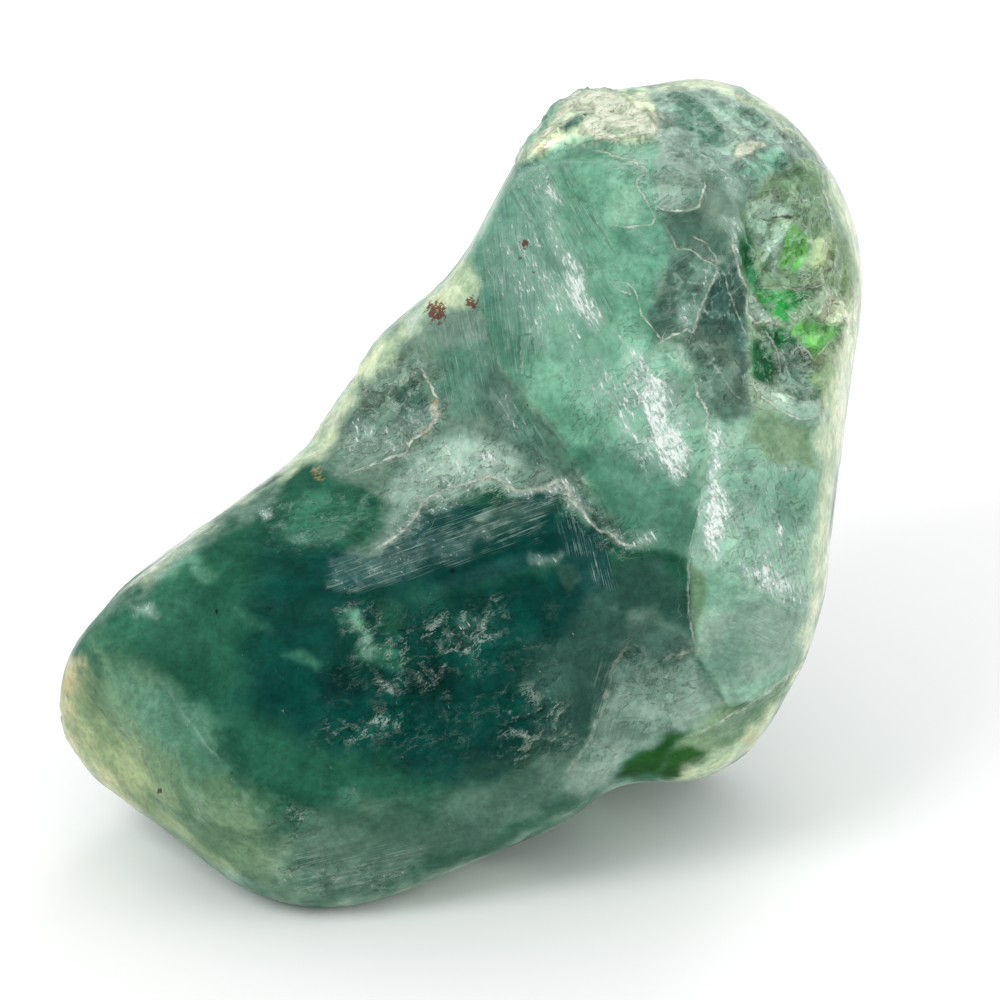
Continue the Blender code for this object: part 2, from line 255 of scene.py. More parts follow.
# Relief of the front. Ridges: the line, height in millimetres and width in spots
RIDGES = {
    "crown_flake": ([(560, 104), (578, 94), (606, 91), (628, 99), (646, 112), (660, 134)], 0.9, 4),
    "crown_left": ([(512, 163), (530, 144), (548, 122), (566, 98)], 0.8, 4),
    "crown_low": ([(546, 152), (580, 138), (621, 141), (656, 138)], 0.9, 4),
    "crown_right_flake": ([(731, 154), (745, 142), (768, 146)], 0.8, 4),
    "crown_band": ([(676, 142), (700, 158), (722, 176), (744, 188)], 0.6, 4),
    "crest_crust": ([(372, 550), (386, 541), (405, 531), (418, 516), (426, 502), (447, 490), (463, 485),
                     (480, 479), (492, 475), (508, 482), (516, 490), (547, 486), (564, 480), (574, 498),
                     (586, 516), (599, 531), (624, 543), (644, 545)], 0.7, 6),
    "frost_chain": ([(633, 336), (636, 360), (647, 369), (656, 392), (662, 415), (672, 440), (680, 470)],
                    0.6, 10),
    "pillow_crust": ([(712, 430), (716, 452), (716, 478), (712, 496), (702, 520), (697, 548)], 0.6, 12),
    "saddle_arc": ([(419, 363), (430, 382), (438, 399), (433, 416), (424, 432), (405, 452), (377, 463),
                    (347, 474)], 0.4, 5),
    "window_ridge": ([(726, 214), (737, 228), (736, 244), (741, 264), (747, 290), (748, 318), (752, 344),
                      (753, 376)], 0.6, 6),
    "window_shelf": ([(752, 286), (773, 287), (796, 290), (824, 286)], 0.5, 5),
    "heel_flake": ([(659, 664), (671, 656), (690, 650), (706, 650), (716, 664), (726, 680), (752, 684)],
                   0.5, 7),
    "lace": ([(596, 151), (610, 156), (633, 160), (648, 171), (637, 188), (646, 202), (655, 222),
              (626, 226)], 0.35, 5),
    "lobe_rim": ([(658, 206), (679, 213), (699, 209), (704, 190), (703, 174)], 0.45, 4),
    "flake_rim": ([(660, 345), (670, 334), (690, 332), (701, 311), (709, 289), (720, 265)], 0.4, 4),
    "right_flake": ([(812, 160), (824, 176), (829, 200), (834, 222), (832, 236)], 0.4, 5),
    "foot_flake": ([(754, 380), (766, 398), (784, 412), (804, 420), (820, 414), (822, 400)], 0.5, 6),
    "streak_wall": ([(532, 205), (552, 244), (566, 276), (580, 304), (594, 328)], 0.35, 9),
    "saddle_rim": ([(308, 452), (330, 420), (352, 392), (380, 356), (404, 330)], 0.4, 10),
    "heel_spine": ([(683, 737), (720, 722), (760, 697), (805, 662)], 0.5, 9),
    "crown_spine": ([(664, 92), (690, 104), (716, 122), (742, 140)], 0.5, 8),
    "crown_spine_right": ([(712, 92), (736, 108), (764, 132), (800, 160)], 0.5, 8),
}

# Steps: the line, its drop in millimetres on the right as it is walked, and how far the drop reaches
STEPS = {
    "under_crest": ([(652, 548), (624, 545), (599, 533), (586, 518), (572, 500), (547, 489), (516, 492),
                     (492, 480), (463, 490), (430, 508), (405, 534), (372, 552)], 1.3, 80),
    "fan_end": ([(332, 540), (338, 556), (331, 584), (358, 592), (400, 582)], 0.5, 60),
    "pillow_edge": ([(706, 428), (704, 480), (698, 514), (691, 540), (688, 590), (690, 620), (694, 644)],
                    1.8, 60),
    "heel_edge": ([(694, 648), (722, 690), (730, 704), (764, 694), (806, 660)], 0.8, 60),
    "lobe_edge": ([(656, 160), (657, 189), (661, 207), (679, 214), (700, 210), (705, 192), (705, 172)],
                  0.9, 50),
    "flake_edge": ([(644, 317), (650, 328), (660, 347), (670, 336), (691, 335), (702, 312), (710, 290),
                    (721, 266)], 0.9, 50),
    "window_left": ([(753, 400), (752, 368), (749, 330), (746, 290), (738, 258), (734, 230), (744, 200)],
                    1.2, 70),
    "window_shelf": ([(826, 290), (796, 292), (773, 289), (752, 290)], 1.0, 40),
    "window_block": ([(852, 325), (830, 328), (812, 318), (800, 344), (817, 360)], 0.8, 30),
    "window_foot": ([(753, 378), (761, 396), (779, 411), (804, 421), (822, 414)], 0.9, 50),
    "crown_step": ([(511, 164), (546, 148), (576, 140), (621, 142), (650, 138), (664, 140)], 1.6, 44),
    "crown_pocket": ([(552, 134), (570, 118), (586, 113)], 0.7, 14),
    "crown_rib": ([(661, 137), (690, 150), (716, 178), (739, 194)], 0.7, 40),
    "crown_shelf": ([(672, 100), (700, 104), (726, 132), (744, 146)], 0.8, 34),
    "frost_face": ([(560, 784), (586, 748), (603, 709), (612, 669), (629, 640), (650, 614)], 0.6, 80),
    "valley": ([(497, 363), (530, 402), (547, 427), (566, 454), (574, 476), (594, 491), (613, 518),
                (630, 540)], 0.7, 60),
    "side_bevel": ([(277, 846), (271, 824), (240, 784), (215, 752), (196, 727), (159, 684)], 0.6, 90),
    "side_groove": ([(84, 690), (112, 721), (143, 752), (156, 784), (166, 816)], 0.4, 26),
}

# Places broken into small chips: outline, height in millimetres, chip size in millimetres
BREAKS = {
    "window": ([(744, 200), (790, 176), (826, 190), (836, 240), (856, 300), (852, 330), (826, 360),
                (822, 402), (786, 404), (752, 380), (746, 290)], 1.4, 4.2),
    "window_fine": ([(750, 190), (800, 190), (812, 240), (846, 290), (840, 320), (806, 350), (816, 396),
                     (780, 400), (752, 320)], 0.9, 2.2),
    "crown": ([(515, 156), (556, 98), (600, 84), (668, 82), (740, 84), (800, 130), (820, 170),
               (760, 190), (720, 190), (660, 140), (600, 142)], 1.7, 5.2),
    "crest": ([(400, 440), (500, 430), (560, 470), (640, 546), (560, 500), (480, 484), (370, 552)],
              0.4, 2.0),
    "saddle": ([(320, 470), (340, 420), (400, 350), (440, 360), (446, 410), (410, 456)], 0.45, 3.0),
    "frost_chain": ([(628, 330), (660, 370), (676, 420), (704, 440), (702, 470), (670, 478), (616, 460),
                     (640, 410)], 0.7, 2.2),
    "pillow_crust": ([(704, 424), (730, 426), (740, 520), (800, 556), (806, 604), (730, 590), (692, 560)],
                     0.6, 2.4),
    "smoky": ([(640, 290), (700, 250), (744, 250), (750, 330), (754, 404), (706, 400), (690, 340)],
              0.5, 5.0),
}


def slabs_behind(seen):
    """The broad cleavage slabs of the back: height, tone and distance to the edge."""
    return chips(seen + rumple(seen, 6.0, 2, 9.0)[:, None] * 3, 15.0, 3)


def carve(skin):
    """Cuts the fine relief: worn swellings all over, then the ridges, steps and breaks of the front."""
    everywhere = rumple(skin.seen, 9.0, 3, 1.0) * 0.16 - np.abs(rumple(skin.seen, 3.2, 1, 7.0)) * 0.07
    slabs, _, edge = slabs_behind(skin.seen)
    flakes = chips(skin.seen + rumple(skin.seen, 3.0, 2, 12.0)[:, None], 5.0, 5)[0]
    behind = 1 - ease(skin.towards_eye, -0.25, 0.1)
    skin.raise_by(everywhere + behind * (slabs * 0.8 * ease(edge, 0, 1.0) + flakes * 0.22))
    front = ease(skin.towards_eye, -0.3, 0.1)
    wander = np.stack([rumple(skin.seen, 4.5, 3, 20.0), rumple(skin.seen, 4.5, 3, 30.0)], 1)
    spots = skin.spots + wander * 4.0
    lumps = rumple(skin.seen, 1.8, 2, 40.0)
    height = np.zeros(len(spots))
    for line, tall, width in RIDGES.values():
        away, place = line_reach(spots, line)
        ends = np.clip(6 * place * (1 - place), 0, 1)
        height += tall * ends * np.exp(-((away / width) ** 2)) * (0.75 + 0.9 * lumps)
    for line, drop, reach in STEPS.values():
        away, place = line_reach(spots, line)
        ends = np.clip(6 * place * (1 - place), 0, 1)
        height -= drop * ends * ease(-away, 0, 4) * np.clip(1 + away / reach, 0, 1) ** 1.4
    for outline, tall, size in BREAKS.values():
        amount = ease(inside_by(spots, outline), 0, 8)
        broken = np.nonzero(amount * front > 0)[0]
        lifted = chips((skin.seen + wander[:, :1] * 0.6)[broken], size, 11)[0]
        height[broken] += tall * 0.5 * amount[broken] * lifted
    skin.raise_by(height * front)


def add_values(mesh, name, values):
    """Stores one number for each point of the mesh under a name that the material reads."""
    attribute = mesh.attributes.new(name, "FLOAT", "POINT")
    attribute.data.foreach_set("value", values.astype(np.float32))


def tint(red, green, blue):
    """A colour of 0 to 255 as shown on screen, turned into the linear light that a shader takes."""
    shown = np.array([red, green, blue]) / 255
    return np.where(shown <= 0.04045, shown / 12.92, ((shown + 0.055) / 1.055) ** 2.4)


# Colours of the stone, from its deepest part to its thin rim; the pale rim colours also serve as painted glow
# of light shining through thin edges
INK = tint(2, 42, 38)
DEEP_TEAL = tint(2, 60, 52)
SHADED_TEAL = tint(24, 72, 68)
BOTTLE_GREEN = tint(34, 88, 68)
SLATE = tint(52, 86, 76)
DIM_GREEN = tint(54, 110, 88)
SHADED_JADE = tint(84, 132, 112)
JADE = tint(106, 160, 132)
PALE_JADE = tint(134, 174, 150)
MILKY_JADE = tint(166, 194, 172)
DARK_SMOKE = tint(80, 112, 98)
SMOKE = tint(104, 130, 114)
MIST = tint(122, 148, 134)
OLIVE = tint(112, 142, 108)
PALE_OLIVE = tint(136, 156, 112)
WINDOW_DEEP = tint(42, 106, 66)
WINDOW_GREEN = tint(34, 126, 56)
WINDOW_LIME = tint(92, 158, 80)
HEEL_GREEN = tint(34, 82, 34)
HONEY_RIM = tint(198, 192, 144)
PALE_RIM = tint(198, 210, 174)
CREAM = tint(216, 222, 198)

# Colours of what lies on the stone
FROST_VEIL = tint(164, 194, 182)
FROST_GRAIN = tint(232, 242, 236)
FLAKE_RIM = tint(206, 222, 210)
SCRATCH_PALE = tint(186, 214, 202)
SCRATCH_DARK = tint(24, 70, 66)
DUST = tint(206, 226, 214)
CRUST_SHADE = tint(168, 188, 160)
CRUST_CREAM = tint(234, 236, 216)
VEIN_PALE = tint(216, 226, 208)
HAIR_LINE = tint(58, 50, 34)
OCHRE = tint(190, 156, 92)
RUST = tint(92, 44, 34)
DARK_GRAIN = tint(14, 22, 18)

# How much of its colour the stone keeps in darker and in lighter clouds
DARKER_CLOUD = (0.66, 0.78, 0.76)
LIGHTER_CLOUD = (1.2, 1.16, 1.17)

FLUORITE_IOR = 1.43

# Clouds with an edge this soft or less keep a crisp edge, and veins are measured this far out
CRISP_EDGE = 3
VEIN_LIMIT = 8.0

# How the nodes of the material are laid out
NODES_IN_A_ROW = 12
NODE_SPACING = 220

# Clouds of colour on the front, from the first laid down to the last: outline, colour, how strong,
# and how soft its edge is in spots
CLOUDS = {
    # The leg
    "jade_face": ([(505, 165), (560, 140), (660, 136), (664, 220), (672, 254), (650, 300), (662, 346),
                   (700, 380), (708, 450), (690, 560), (652, 552), (620, 520), (566, 454), (497, 363),
                   (463, 280)], JADE, 1.0, 8),
    "jade_left": ([(463, 268), (511, 168), (540, 190), (560, 260), (546, 330), (530, 390), (497, 363),
                   (478, 310)], SHADED_JADE, 0.9, 12),
    "jade_top": ([(574, 158), (640, 162), (640, 200), (652, 222), (610, 224), (580, 200)],
                 JADE, 0.7, 12),
    "jade_frosty_top": ([(546, 152), (600, 146), (650, 140), (656, 200), (636, 184), (630, 160),
                         (590, 156), (560, 160)], PALE_JADE, 0.75, 6),
    "jade_yellow": ([(602, 196), (636, 190), (650, 222), (616, 226)], PALE_JADE, 0.6, 8),
    "jade_aqua": ([(570, 240), (640, 228), (662, 250), (650, 300), (600, 330), (570, 300)],
                  JADE, 0.7, 14),
    "jade_teal": ([(606, 226), (656, 226), (680, 252), (664, 270), (616, 240)], SHADED_JADE, 0.7, 6),
    "jade_deep": ([(590, 290), (636, 280), (644, 330), (620, 350), (588, 330)], JADE, 0.7, 14),
    "jade_green": ([(500, 372), (560, 330), (620, 350), (628, 440), (600, 456), (556, 430), (520, 396)],
                   JADE, 0.8, 12),
    "jade_low": ([(566, 456), (620, 440), (700, 470), (692, 560), (652, 548), (612, 512)],
                 SHADED_JADE, 0.9, 12),
    "jade_low_aqua": ([(650, 500), (700, 490), (694, 560), (664, 550)], SHADED_JADE, 0.7, 10),
    "jade_valley": ([(556, 440), (580, 440), (612, 486), (640, 530), (634, 542), (604, 506), (574, 474)],
                    DIM_GREEN, 0.6, 5),
    "blue_frost": ([(666, 372), (690, 378), (690, 424), (676, 424), (664, 400)], MIST, 0.7, 8),
    "smoky_face": ([(660, 138), (704, 150), (744, 200), (754, 404), (740, 430), (706, 420), (692, 350),
                    (664, 330), (650, 300), (676, 256)], SMOKE, 1.0, 5),
    "smoky_lobe": ([(657, 137), (679, 143), (696, 157), (704, 174), (703, 197), (699, 209), (679, 213),
                    (661, 207), (657, 189), (656, 160)], MIST, 1.0, 3),
    "lobe_core": ([(676, 172), (694, 168), (700, 190), (694, 204), (680, 198)], SMOKE, 0.8, 8),
    "neck_dark": ([(667, 220), (676, 212), (701, 209), (716, 218), (732, 242), (719, 263), (707, 244),
                   (693, 237), (688, 250), (676, 250)], DARK_SMOKE, 0.95, 5),
    "neck_grey": ([(706, 188), (724, 194), (734, 226), (716, 226), (702, 206)], SMOKE, 0.8, 5),
    "smoky_flake": ([(667, 254), (690, 251), (701, 257), (719, 266), (709, 289), (701, 311), (692, 334),
                     (670, 334), (660, 346), (650, 326), (646, 310), (664, 290)],
                    DARK_SMOKE, 1.0, 3),
    "smoky_strip": ([(719, 266), (733, 251), (744, 277), (750, 317), (750, 403), (736, 394), (707, 363),
                     (691, 338), (704, 310)], SLATE, 0.9, 5),
    "strip_green": ([(719, 268), (732, 282), (738, 330), (716, 320), (708, 298)], SLATE, 0.85, 5),
    "strip_grey": ([(694, 338), (716, 334), (744, 352), (748, 400), (726, 386), (706, 362)],
                   SMOKE, 0.8, 7),
    "strip_low": ([(694, 350), (712, 372), (740, 400), (750, 430), (712, 424), (700, 396)],
                  DARK_SMOKE, 0.85, 6),
    # The pillow
    "pillow": ([(706, 432), (752, 412), (822, 410), (820, 560), (812, 640), (764, 696), (728, 690),
                (696, 648), (688, 600), (692, 540)], PALE_JADE, 1.0, 4),
    "pillow_olive": ([(752, 404), (800, 424), (816, 430), (812, 470), (776, 462), (744, 440)],
                     OLIVE, 0.9, 5),
    "pillow_shade": ([(734, 462), (808, 480), (812, 524), (780, 540), (738, 500)], SHADED_JADE, 0.7, 10),
    "pillow_low": ([(700, 620), (760, 600), (806, 606), (804, 650), (756, 680), (724, 680), (698, 650)],
                   MIST, 0.8, 8),
    "pillow_mint": ([(697, 563), (706, 580), (709, 600), (722, 592), (734, 580), (732, 560)],
                    PALE_JADE, 0.8, 4),
    "pillow_rim": ([(690, 563), (703, 577), (706, 597), (697, 626), (694, 643), (686, 620), (686, 591)],
                   OLIVE, 0.95, 3),
    # The saddle
    "saddle": ([(296, 466), (352, 396), (404, 334), (470, 300), (497, 363), (566, 454), (580, 486),
                (516, 486), (430, 502), (380, 500)], SMOKE, 1.0, 6),
    "saddle_grey": ([(336, 420), (380, 376), (404, 380), (396, 430), (346, 456)], SMOKE, 0.7, 10),
    "saddle_teal": ([(396, 396), (426, 380), (432, 410), (412, 436), (392, 430)], SLATE, 0.8, 6),
    "saddle_teal_left": ([(350, 420), (384, 404), (392, 440), (360, 452)], DARK_SMOKE, 0.7, 6),
    "saddle_top": ([(447, 282), (474, 266), (480, 288), (474, 304), (436, 307)], PALE_RIM, 0.9, 5),
    "saddle_blue": ([(433, 318), (480, 316), (488, 352), (446, 350)], MIST, 0.8, 8),
    "saddle_stripes": ([(432, 344), (490, 340), (492, 366), (472, 420), (448, 412)], SHADED_JADE, 0.9, 7),
    "valley_dark": ([(474, 388), (491, 363), (522, 399), (558, 438), (574, 473), (547, 479), (519, 466),
                     (502, 432), (480, 416)], DARK_SMOKE, 1.0, 5),
    "valley_frost": ([(474, 384), (496, 382), (504, 412), (480, 414)], DARK_SMOKE, 0.7, 7),
    "valley_teal": ([(520, 402), (548, 430), (566, 462), (540, 460), (516, 430)], DIM_GREEN, 0.7, 7),
    # The toe
    "toe_body": ([(52, 712), (70, 650), (143, 574), (234, 502), (300, 462), (380, 498), (426, 502),
                  (516, 490), (564, 482), (652, 548), (690, 560), (690, 644), (612, 780), (480, 856),
                  (320, 908), (210, 860), (130, 800)], BOTTLE_GREEN, 1.0, 4),
    "toe_upper": ([(100, 610), (200, 524), (300, 470), (330, 500), (330, 560), (260, 640), (160, 660)],
                  BOTTLE_GREEN, 0.85, 24),
    "toe_upper_left": ([(84, 640), (140, 584), (190, 580), (190, 640), (120, 668)], DIM_GREEN, 0.7, 18),
    "toe_lobe": ([(271, 506), (309, 484), (368, 490), (384, 499), (362, 518), (331, 530), (277, 528)],
                 DIM_GREEN, 0.65, 12),
    "toe_mid_dark": ([(260, 540), (336, 545), (420, 590), (560, 580), (640, 600), (600, 700), (540, 770),
                      (420, 780), (300, 740), (236, 700)], DEEP_TEAL, 0.9, 22),
    "toe_bluish": ([(259, 671), (321, 671), (318, 704), (266, 706)], DEEP_TEAL, 0.7, 10),
    "toe_blot_left": ([(312, 672), (340, 666), (368, 690), (362, 712), (330, 714)], INK, 0.85, 4),
    "toe_blot_low": ([(296, 700), (314, 690), (314, 728), (300, 731)], DEEP_TEAL, 0.75, 4),
    "toe_blot_right": ([(404, 664), (436, 656), (459, 680), (462, 716), (430, 724), (406, 700)],
                       INK, 0.85, 5),
    "toe_blot_wide": ([(330, 700), (420, 700), (520, 690), (540, 740), (480, 780), (380, 776), (320, 750)],
                      DEEP_TEAL, 0.75, 12),
    "toe_right_dark": ([(560, 596), (616, 580), (634, 620), (612, 690), (560, 720), (520, 680)],
                       SLATE, 0.8, 14),
    "toe_right": ([(612, 560), (660, 560), (686, 600), (690, 640), (656, 612), (616, 640)],
                  SLATE, 0.85, 8),
    "toe_right_shade": ([(566, 640), (612, 640), (610, 700), (580, 752), (540, 760)], SLATE, 0.8, 10),
    "toe_low_olive": ([(215, 742), (321, 745), (420, 776), (480, 790), (420, 830), (290, 830), (240, 790)],
                      BOTTLE_GREEN, 0.85, 18),
    # Painted reflection: a hazy grey sheen along the toe's rounded lower front, standing in for the floor
    # reflected there
    "toe_low_painted_sheen": ([(262, 830), (330, 818), (420, 812), (500, 780), (590, 740), (620, 770), (480, 856),
                      (330, 908), (250, 890)], SMOKE, 0.6, 22),
    "toe_grey_painted_sheen": ([(440, 810), (560, 760), (610, 740), (616, 782), (480, 850), (430, 856)],
                      DARK_SMOKE, 0.75, 14),
    "toe_bevel": ([(100, 640), (150, 668), (196, 727), (240, 784), (271, 824), (285, 850), (300, 892),
                   (220, 870), (160, 800), (100, 710)], OLIVE, 0.75, 15),
    "bevel_soft": ([(110, 660), (190, 700), (240, 770), (200, 780), (130, 720)], SHADED_JADE, 0.7, 14),
    "toe_side": ([(62, 696), (84, 688), (112, 721), (143, 752), (158, 790), (170, 830), (110, 790),
                  (66, 750)], PALE_OLIVE, 1.0, 13),
    "toe_side_light": ([(100, 730), (130, 740), (152, 782), (130, 790), (104, 760)], PALE_OLIVE, 0.7, 8),
    "toe_side_low": ([(150, 800), (170, 810), (230, 870), (190, 850), (150, 826)], PALE_OLIVE, 0.8, 6),
    # Painted glow: the thin toe tip in pale honey, partly its own honey colour and partly light shining
    # through it
    "toe_tip": ([(50, 712), (60, 664), (76, 664), (80, 690), (60, 706)], HONEY_RIM, 0.8, 14),
    "toe_tip_low": ([(50, 706), (66, 712), (78, 750), (120, 790), (146, 822), (100, 796), (52, 750)],
                    HONEY_RIM, 0.8, 9),
    # Painted shade: a dark strip along the underside edge, standing in for the contact shadow
    "underside_painted_shade": ([(371, 893), (387, 881), (430, 858), (480, 843), (560, 808), (600, 790), (606, 800),
                    (480, 862), (380, 902)], BOTTLE_GREEN, 0.7, 8),
    "top_line": ([(143, 580), (234, 508), (296, 462), (290, 450), (230, 492), (140, 564)],
                 PALE_RIM, 0.7, 7),
    "top_grey": ([(100, 622), (150, 578), (236, 514), (280, 486), (276, 500), (200, 544), (130, 606)],
                 MIST, 0.7, 6),
    # Small clouds inside the toe
    "cloud_lobe": ([(271, 531), (306, 532), (331, 526), (352, 516), (362, 502), (368, 508), (356, 524),
                    (331, 541), (306, 543)], SHADED_JADE, 0.6, 7),
    "cloud_left": ([(159, 576), (181, 558), (202, 546), (215, 574), (206, 580), (192, 566), (172, 578)],
                   JADE, 0.75, 7),
    "cloud_low": ([(234, 612), (262, 616), (272, 628), (246, 627)], DIM_GREEN, 0.75, 6),
    "cloud_bright": ([(347, 611), (358, 610), (366, 624), (374, 640), (374, 656), (362, 658), (354, 648),
                      (362, 636), (350, 628)], JADE, 0.7, 5),
    "cloud_bright_small": ([(337, 619), (345, 618), (344, 626), (338, 625)], DIM_GREEN, 0.9, 2),
    "cloud_right": ([(382, 602), (404, 604), (409, 626), (396, 642), (384, 628)], BOTTLE_GREEN, 0.8, 6),
    "cloud_line": ([(284, 654), (300, 652), (324, 660), (318, 668), (296, 662)], DIM_GREEN, 0.8, 4),
    "cloud_mark": ([(336, 790), (345, 786), (355, 790), (359, 799), (353, 809), (343, 811), (334, 804)],
                   SHADED_JADE, 0.35, 3),
    "cloud_pair": ([(352, 646), (372, 640), (404, 656), (400, 668), (370, 668), (356, 656)],
                   DIM_GREEN, 0.7, 4),
    # The crest and the fan
    "fan_field": ([(333, 556), (386, 543), (418, 520), (460, 500), (560, 500), (600, 540), (558, 552),
                   (488, 577), (452, 585), (400, 584), (358, 592), (330, 585)], DEEP_TEAL, 1.0, 8),
    "fan_slate": ([(333, 560), (386, 548), (411, 538), (474, 536), (470, 554), (436, 564), (413, 577),
                   (391, 583), (358, 591), (330, 585)], SHADED_TEAL, 0.9, 5),
    # Painted shade: the fan darkened just under the crest's ledge
    "fan_painted_shade_under_crest": ([(390, 545), (420, 522), (458, 508), (470, 520), (440, 536), (404, 548)],
                 SHADED_TEAL, 0.9, 5),
    "fan_window": ([(458, 502), (474, 488), (502, 481), (511, 491), (499, 502), (474, 505)],
                   BOTTLE_GREEN, 0.95, 3),
    "fan_lens": ([(469, 521), (486, 510), (516, 504), (500, 514), (484, 523)], MIST, 0.9, 3),
    "fan_grey": ([(480, 523), (516, 498), (547, 491), (558, 504), (530, 524), (491, 536), (461, 541)],
                 SLATE, 0.95, 4),
    "fan_ink": ([(519, 494), (540, 490), (556, 494), (550, 506), (524, 503)], SHADED_TEAL, 0.85, 4),
    "fan_green": ([(436, 593), (452, 576), (491, 561), (524, 554), (556, 550), (547, 561), (524, 569),
                   (488, 578), (452, 587)], SHADED_TEAL, 0.95, 3),
    "fan_under": ([(446, 596), (500, 580), (556, 564), (600, 590), (560, 640), (470, 620)],
                  DEEP_TEAL, 0.9, 6),
    "fan_right": ([(556, 504), (600, 536), (616, 580), (586, 600), (556, 560)], SHADED_TEAL, 0.9, 5),
    "fan_patch": ([(555, 563), (574, 566), (582, 580), (570, 592), (562, 586)], SLATE, 0.85, 3),
    "crest_right": ([(560, 478), (580, 488), (606, 512), (636, 544), (612, 536), (590, 520), (572, 498)],
                    DARK_SMOKE, 0.9, 4),
    "crest_veil": ([(397, 470), (424, 440), (470, 434), (500, 446), (556, 472), (500, 478), (447, 490),
                    (424, 504), (372, 552), (352, 556), (386, 516)], MIST, 0.9, 6),
    "veil_bright": ([(440, 446), (478, 438), (494, 456), (490, 474), (452, 482), (430, 470)],
                    MILKY_JADE, 0.7, 8),
    "veil_dark": ([(447, 424), (476, 426), (478, 440), (452, 442)], MIST, 0.8, 5),
    # The frosted hollow and the heel
    "frosted_face": ([(636, 614), (654, 611), (689, 646), (694, 666), (720, 683), (729, 703), (694, 723),
                      (674, 731), (631, 751), (614, 780), (589, 800), (558, 786), (586, 746), (603, 709),
                      (614, 669), (629, 640)], MIST, 1.0, 6),
    "frosted_dark": ([(629, 625), (654, 611), (690, 646), (680, 660), (640, 672), (616, 668)],
                     SLATE, 0.9, 9),
    "frosted_mid": ([(616, 676), (650, 660), (690, 672), (680, 700), (630, 712)], DARK_SMOKE, 0.6, 12),
    "heel": ([(683, 737), (720, 704), (764, 694), (811, 648), (800, 690), (760, 742), (703, 777),
              (663, 778)], OLIVE, 1.0, 5),
    "heel_dark": ([(614, 780), (643, 749), (674, 730), (690, 730), (672, 750), (663, 774)],
                  HEEL_GREEN, 1.0, 4),
    "heel_green": ([(663, 772), (669, 751), (694, 748), (708, 757), (690, 774), (669, 780)],
                   HEEL_GREEN, 1.0, 4),
    "heel_streak": ([(716, 734), (760, 698), (766, 700), (740, 726), (722, 738)], SMOKE, 0.8, 4),
    "heel_tip": ([(677, 778), (691, 768), (714, 756), (757, 722), (780, 700), (764, 742), (731, 764),
                  (703, 778)], PALE_RIM, 1.0, 4),
    # The crown
    "crown": ([(650, 84), (720, 76), (800, 120), (830, 170), (808, 160), (776, 172), (750, 192),
               (720, 190), (690, 150), (661, 137)], MIST, 1.0, 5),
    "crown_green": ([(673, 103), (696, 100), (716, 120), (727, 131), (724, 146), (701, 134), (679, 123)],
                    SHADED_JADE, 0.9, 4),
    "crown_green_right": ([(716, 100), (739, 111), (767, 134), (779, 146), (750, 132), (728, 112)],
                          PALE_JADE, 0.9, 3),
    "crown_bar": ([(700, 92), (712, 96), (732, 118), (748, 136), (736, 138), (716, 118)],
                  MILKY_JADE, 0.85, 3),
    "crown_low_green": ([(747, 157), (773, 149), (793, 157), (776, 169), (759, 183), (744, 174)],
                        JADE, 0.9, 4),
    "crown_low_pale": ([(707, 186), (750, 191), (776, 180), (770, 196), (724, 198)], MIST, 0.8, 5),
    "crown_dark": ([(722, 194), (750, 200), (748, 216), (734, 216)], SMOKE, 0.85, 4),
    "crown_left": ([(511, 163), (544, 126), (564, 97), (579, 88), (650, 86), (661, 137), (621, 141),
                    (579, 136), (546, 152)], PALE_RIM, 1.0, 4),
    "crown_pocket": ([(553, 132), (569, 118), (584, 113), (584, 120), (573, 127)], SLATE, 1.0, 2),
    "crown_under": ([(511, 166), (530, 160), (546, 150), (546, 156), (530, 166), (514, 172)],
                    DIM_GREEN, 0.95, 3),
    # The green window
    "window": ([(736, 222), (748, 196), (773, 174), (793, 158), (813, 160), (826, 190), (836, 240),
                (858, 300), (850, 400), (822, 410), (756, 400), (750, 330), (744, 280)],
               OLIVE, 1.0, 4),
    "window_olive": ([(773, 176), (793, 160), (812, 162), (824, 188), (826, 214), (808, 216), (793, 203),
                      (774, 194)], OLIVE, 1.0, 3),
    "window_olive_low": ([(804, 206), (828, 200), (832, 224), (814, 234), (806, 222)], OLIVE, 0.8, 5),
    "window_edge_green": ([(737, 232), (750, 231), (755, 262), (762, 288), (754, 292), (744, 272)],
                          WINDOW_DEEP, 1.0, 3),
    "window_frosty": ([(748, 202), (768, 198), (794, 214), (770, 222), (762, 246), (752, 238)],
                      MILKY_JADE, 0.9, 4),
    "window_green_high": ([(790, 223), (807, 237), (808, 256), (796, 271), (779, 271), (779, 257)],
                          WINDOW_LIME, 1.0, 3),
    "window_streak": ([(790, 221), (780, 250), (773, 278), (766, 266), (767, 243), (778, 226)],
                      MILKY_JADE, 0.9, 3),
    "window_right": ([(810, 243), (834, 222), (856, 254), (864, 277), (856, 318), (822, 323), (824, 289),
                      (801, 286), (813, 269)], PALE_OLIVE, 0.9, 4),
    "window_green_mid": ([(753, 288), (796, 291), (808, 292), (808, 304), (790, 312), (787, 324),
                          (768, 312), (758, 300)], WINDOW_GREEN, 1.0, 3),
    "window_blocks": ([(824, 287), (840, 294), (856, 322), (830, 326), (817, 317), (824, 303)],
                      PALE_RIM, 0.9, 3),
    "window_lime": ([(790, 331), (800, 322), (819, 320), (844, 326), (830, 343), (817, 359), (802, 344)],
                    WINDOW_LIME, 1.0, 3),
    "window_lime_low": ([(817, 359), (848, 340), (846, 377), (826, 390), (816, 376)], PALE_OLIVE, 0.9, 5),
    "window_dark": ([(759, 326), (787, 329), (804, 346), (793, 360), (773, 349)], WINDOW_DEEP, 1.0, 3),
    "window_deep": ([(750, 343), (761, 340), (776, 360), (779, 374), (767, 389), (753, 377)],
                    WINDOW_DEEP, 1.0, 3),
    "window_smoke": ([(779, 350), (800, 346), (812, 352), (814, 386), (822, 402), (801, 400), (776, 389)],
                     SMOKE, 0.95, 4),
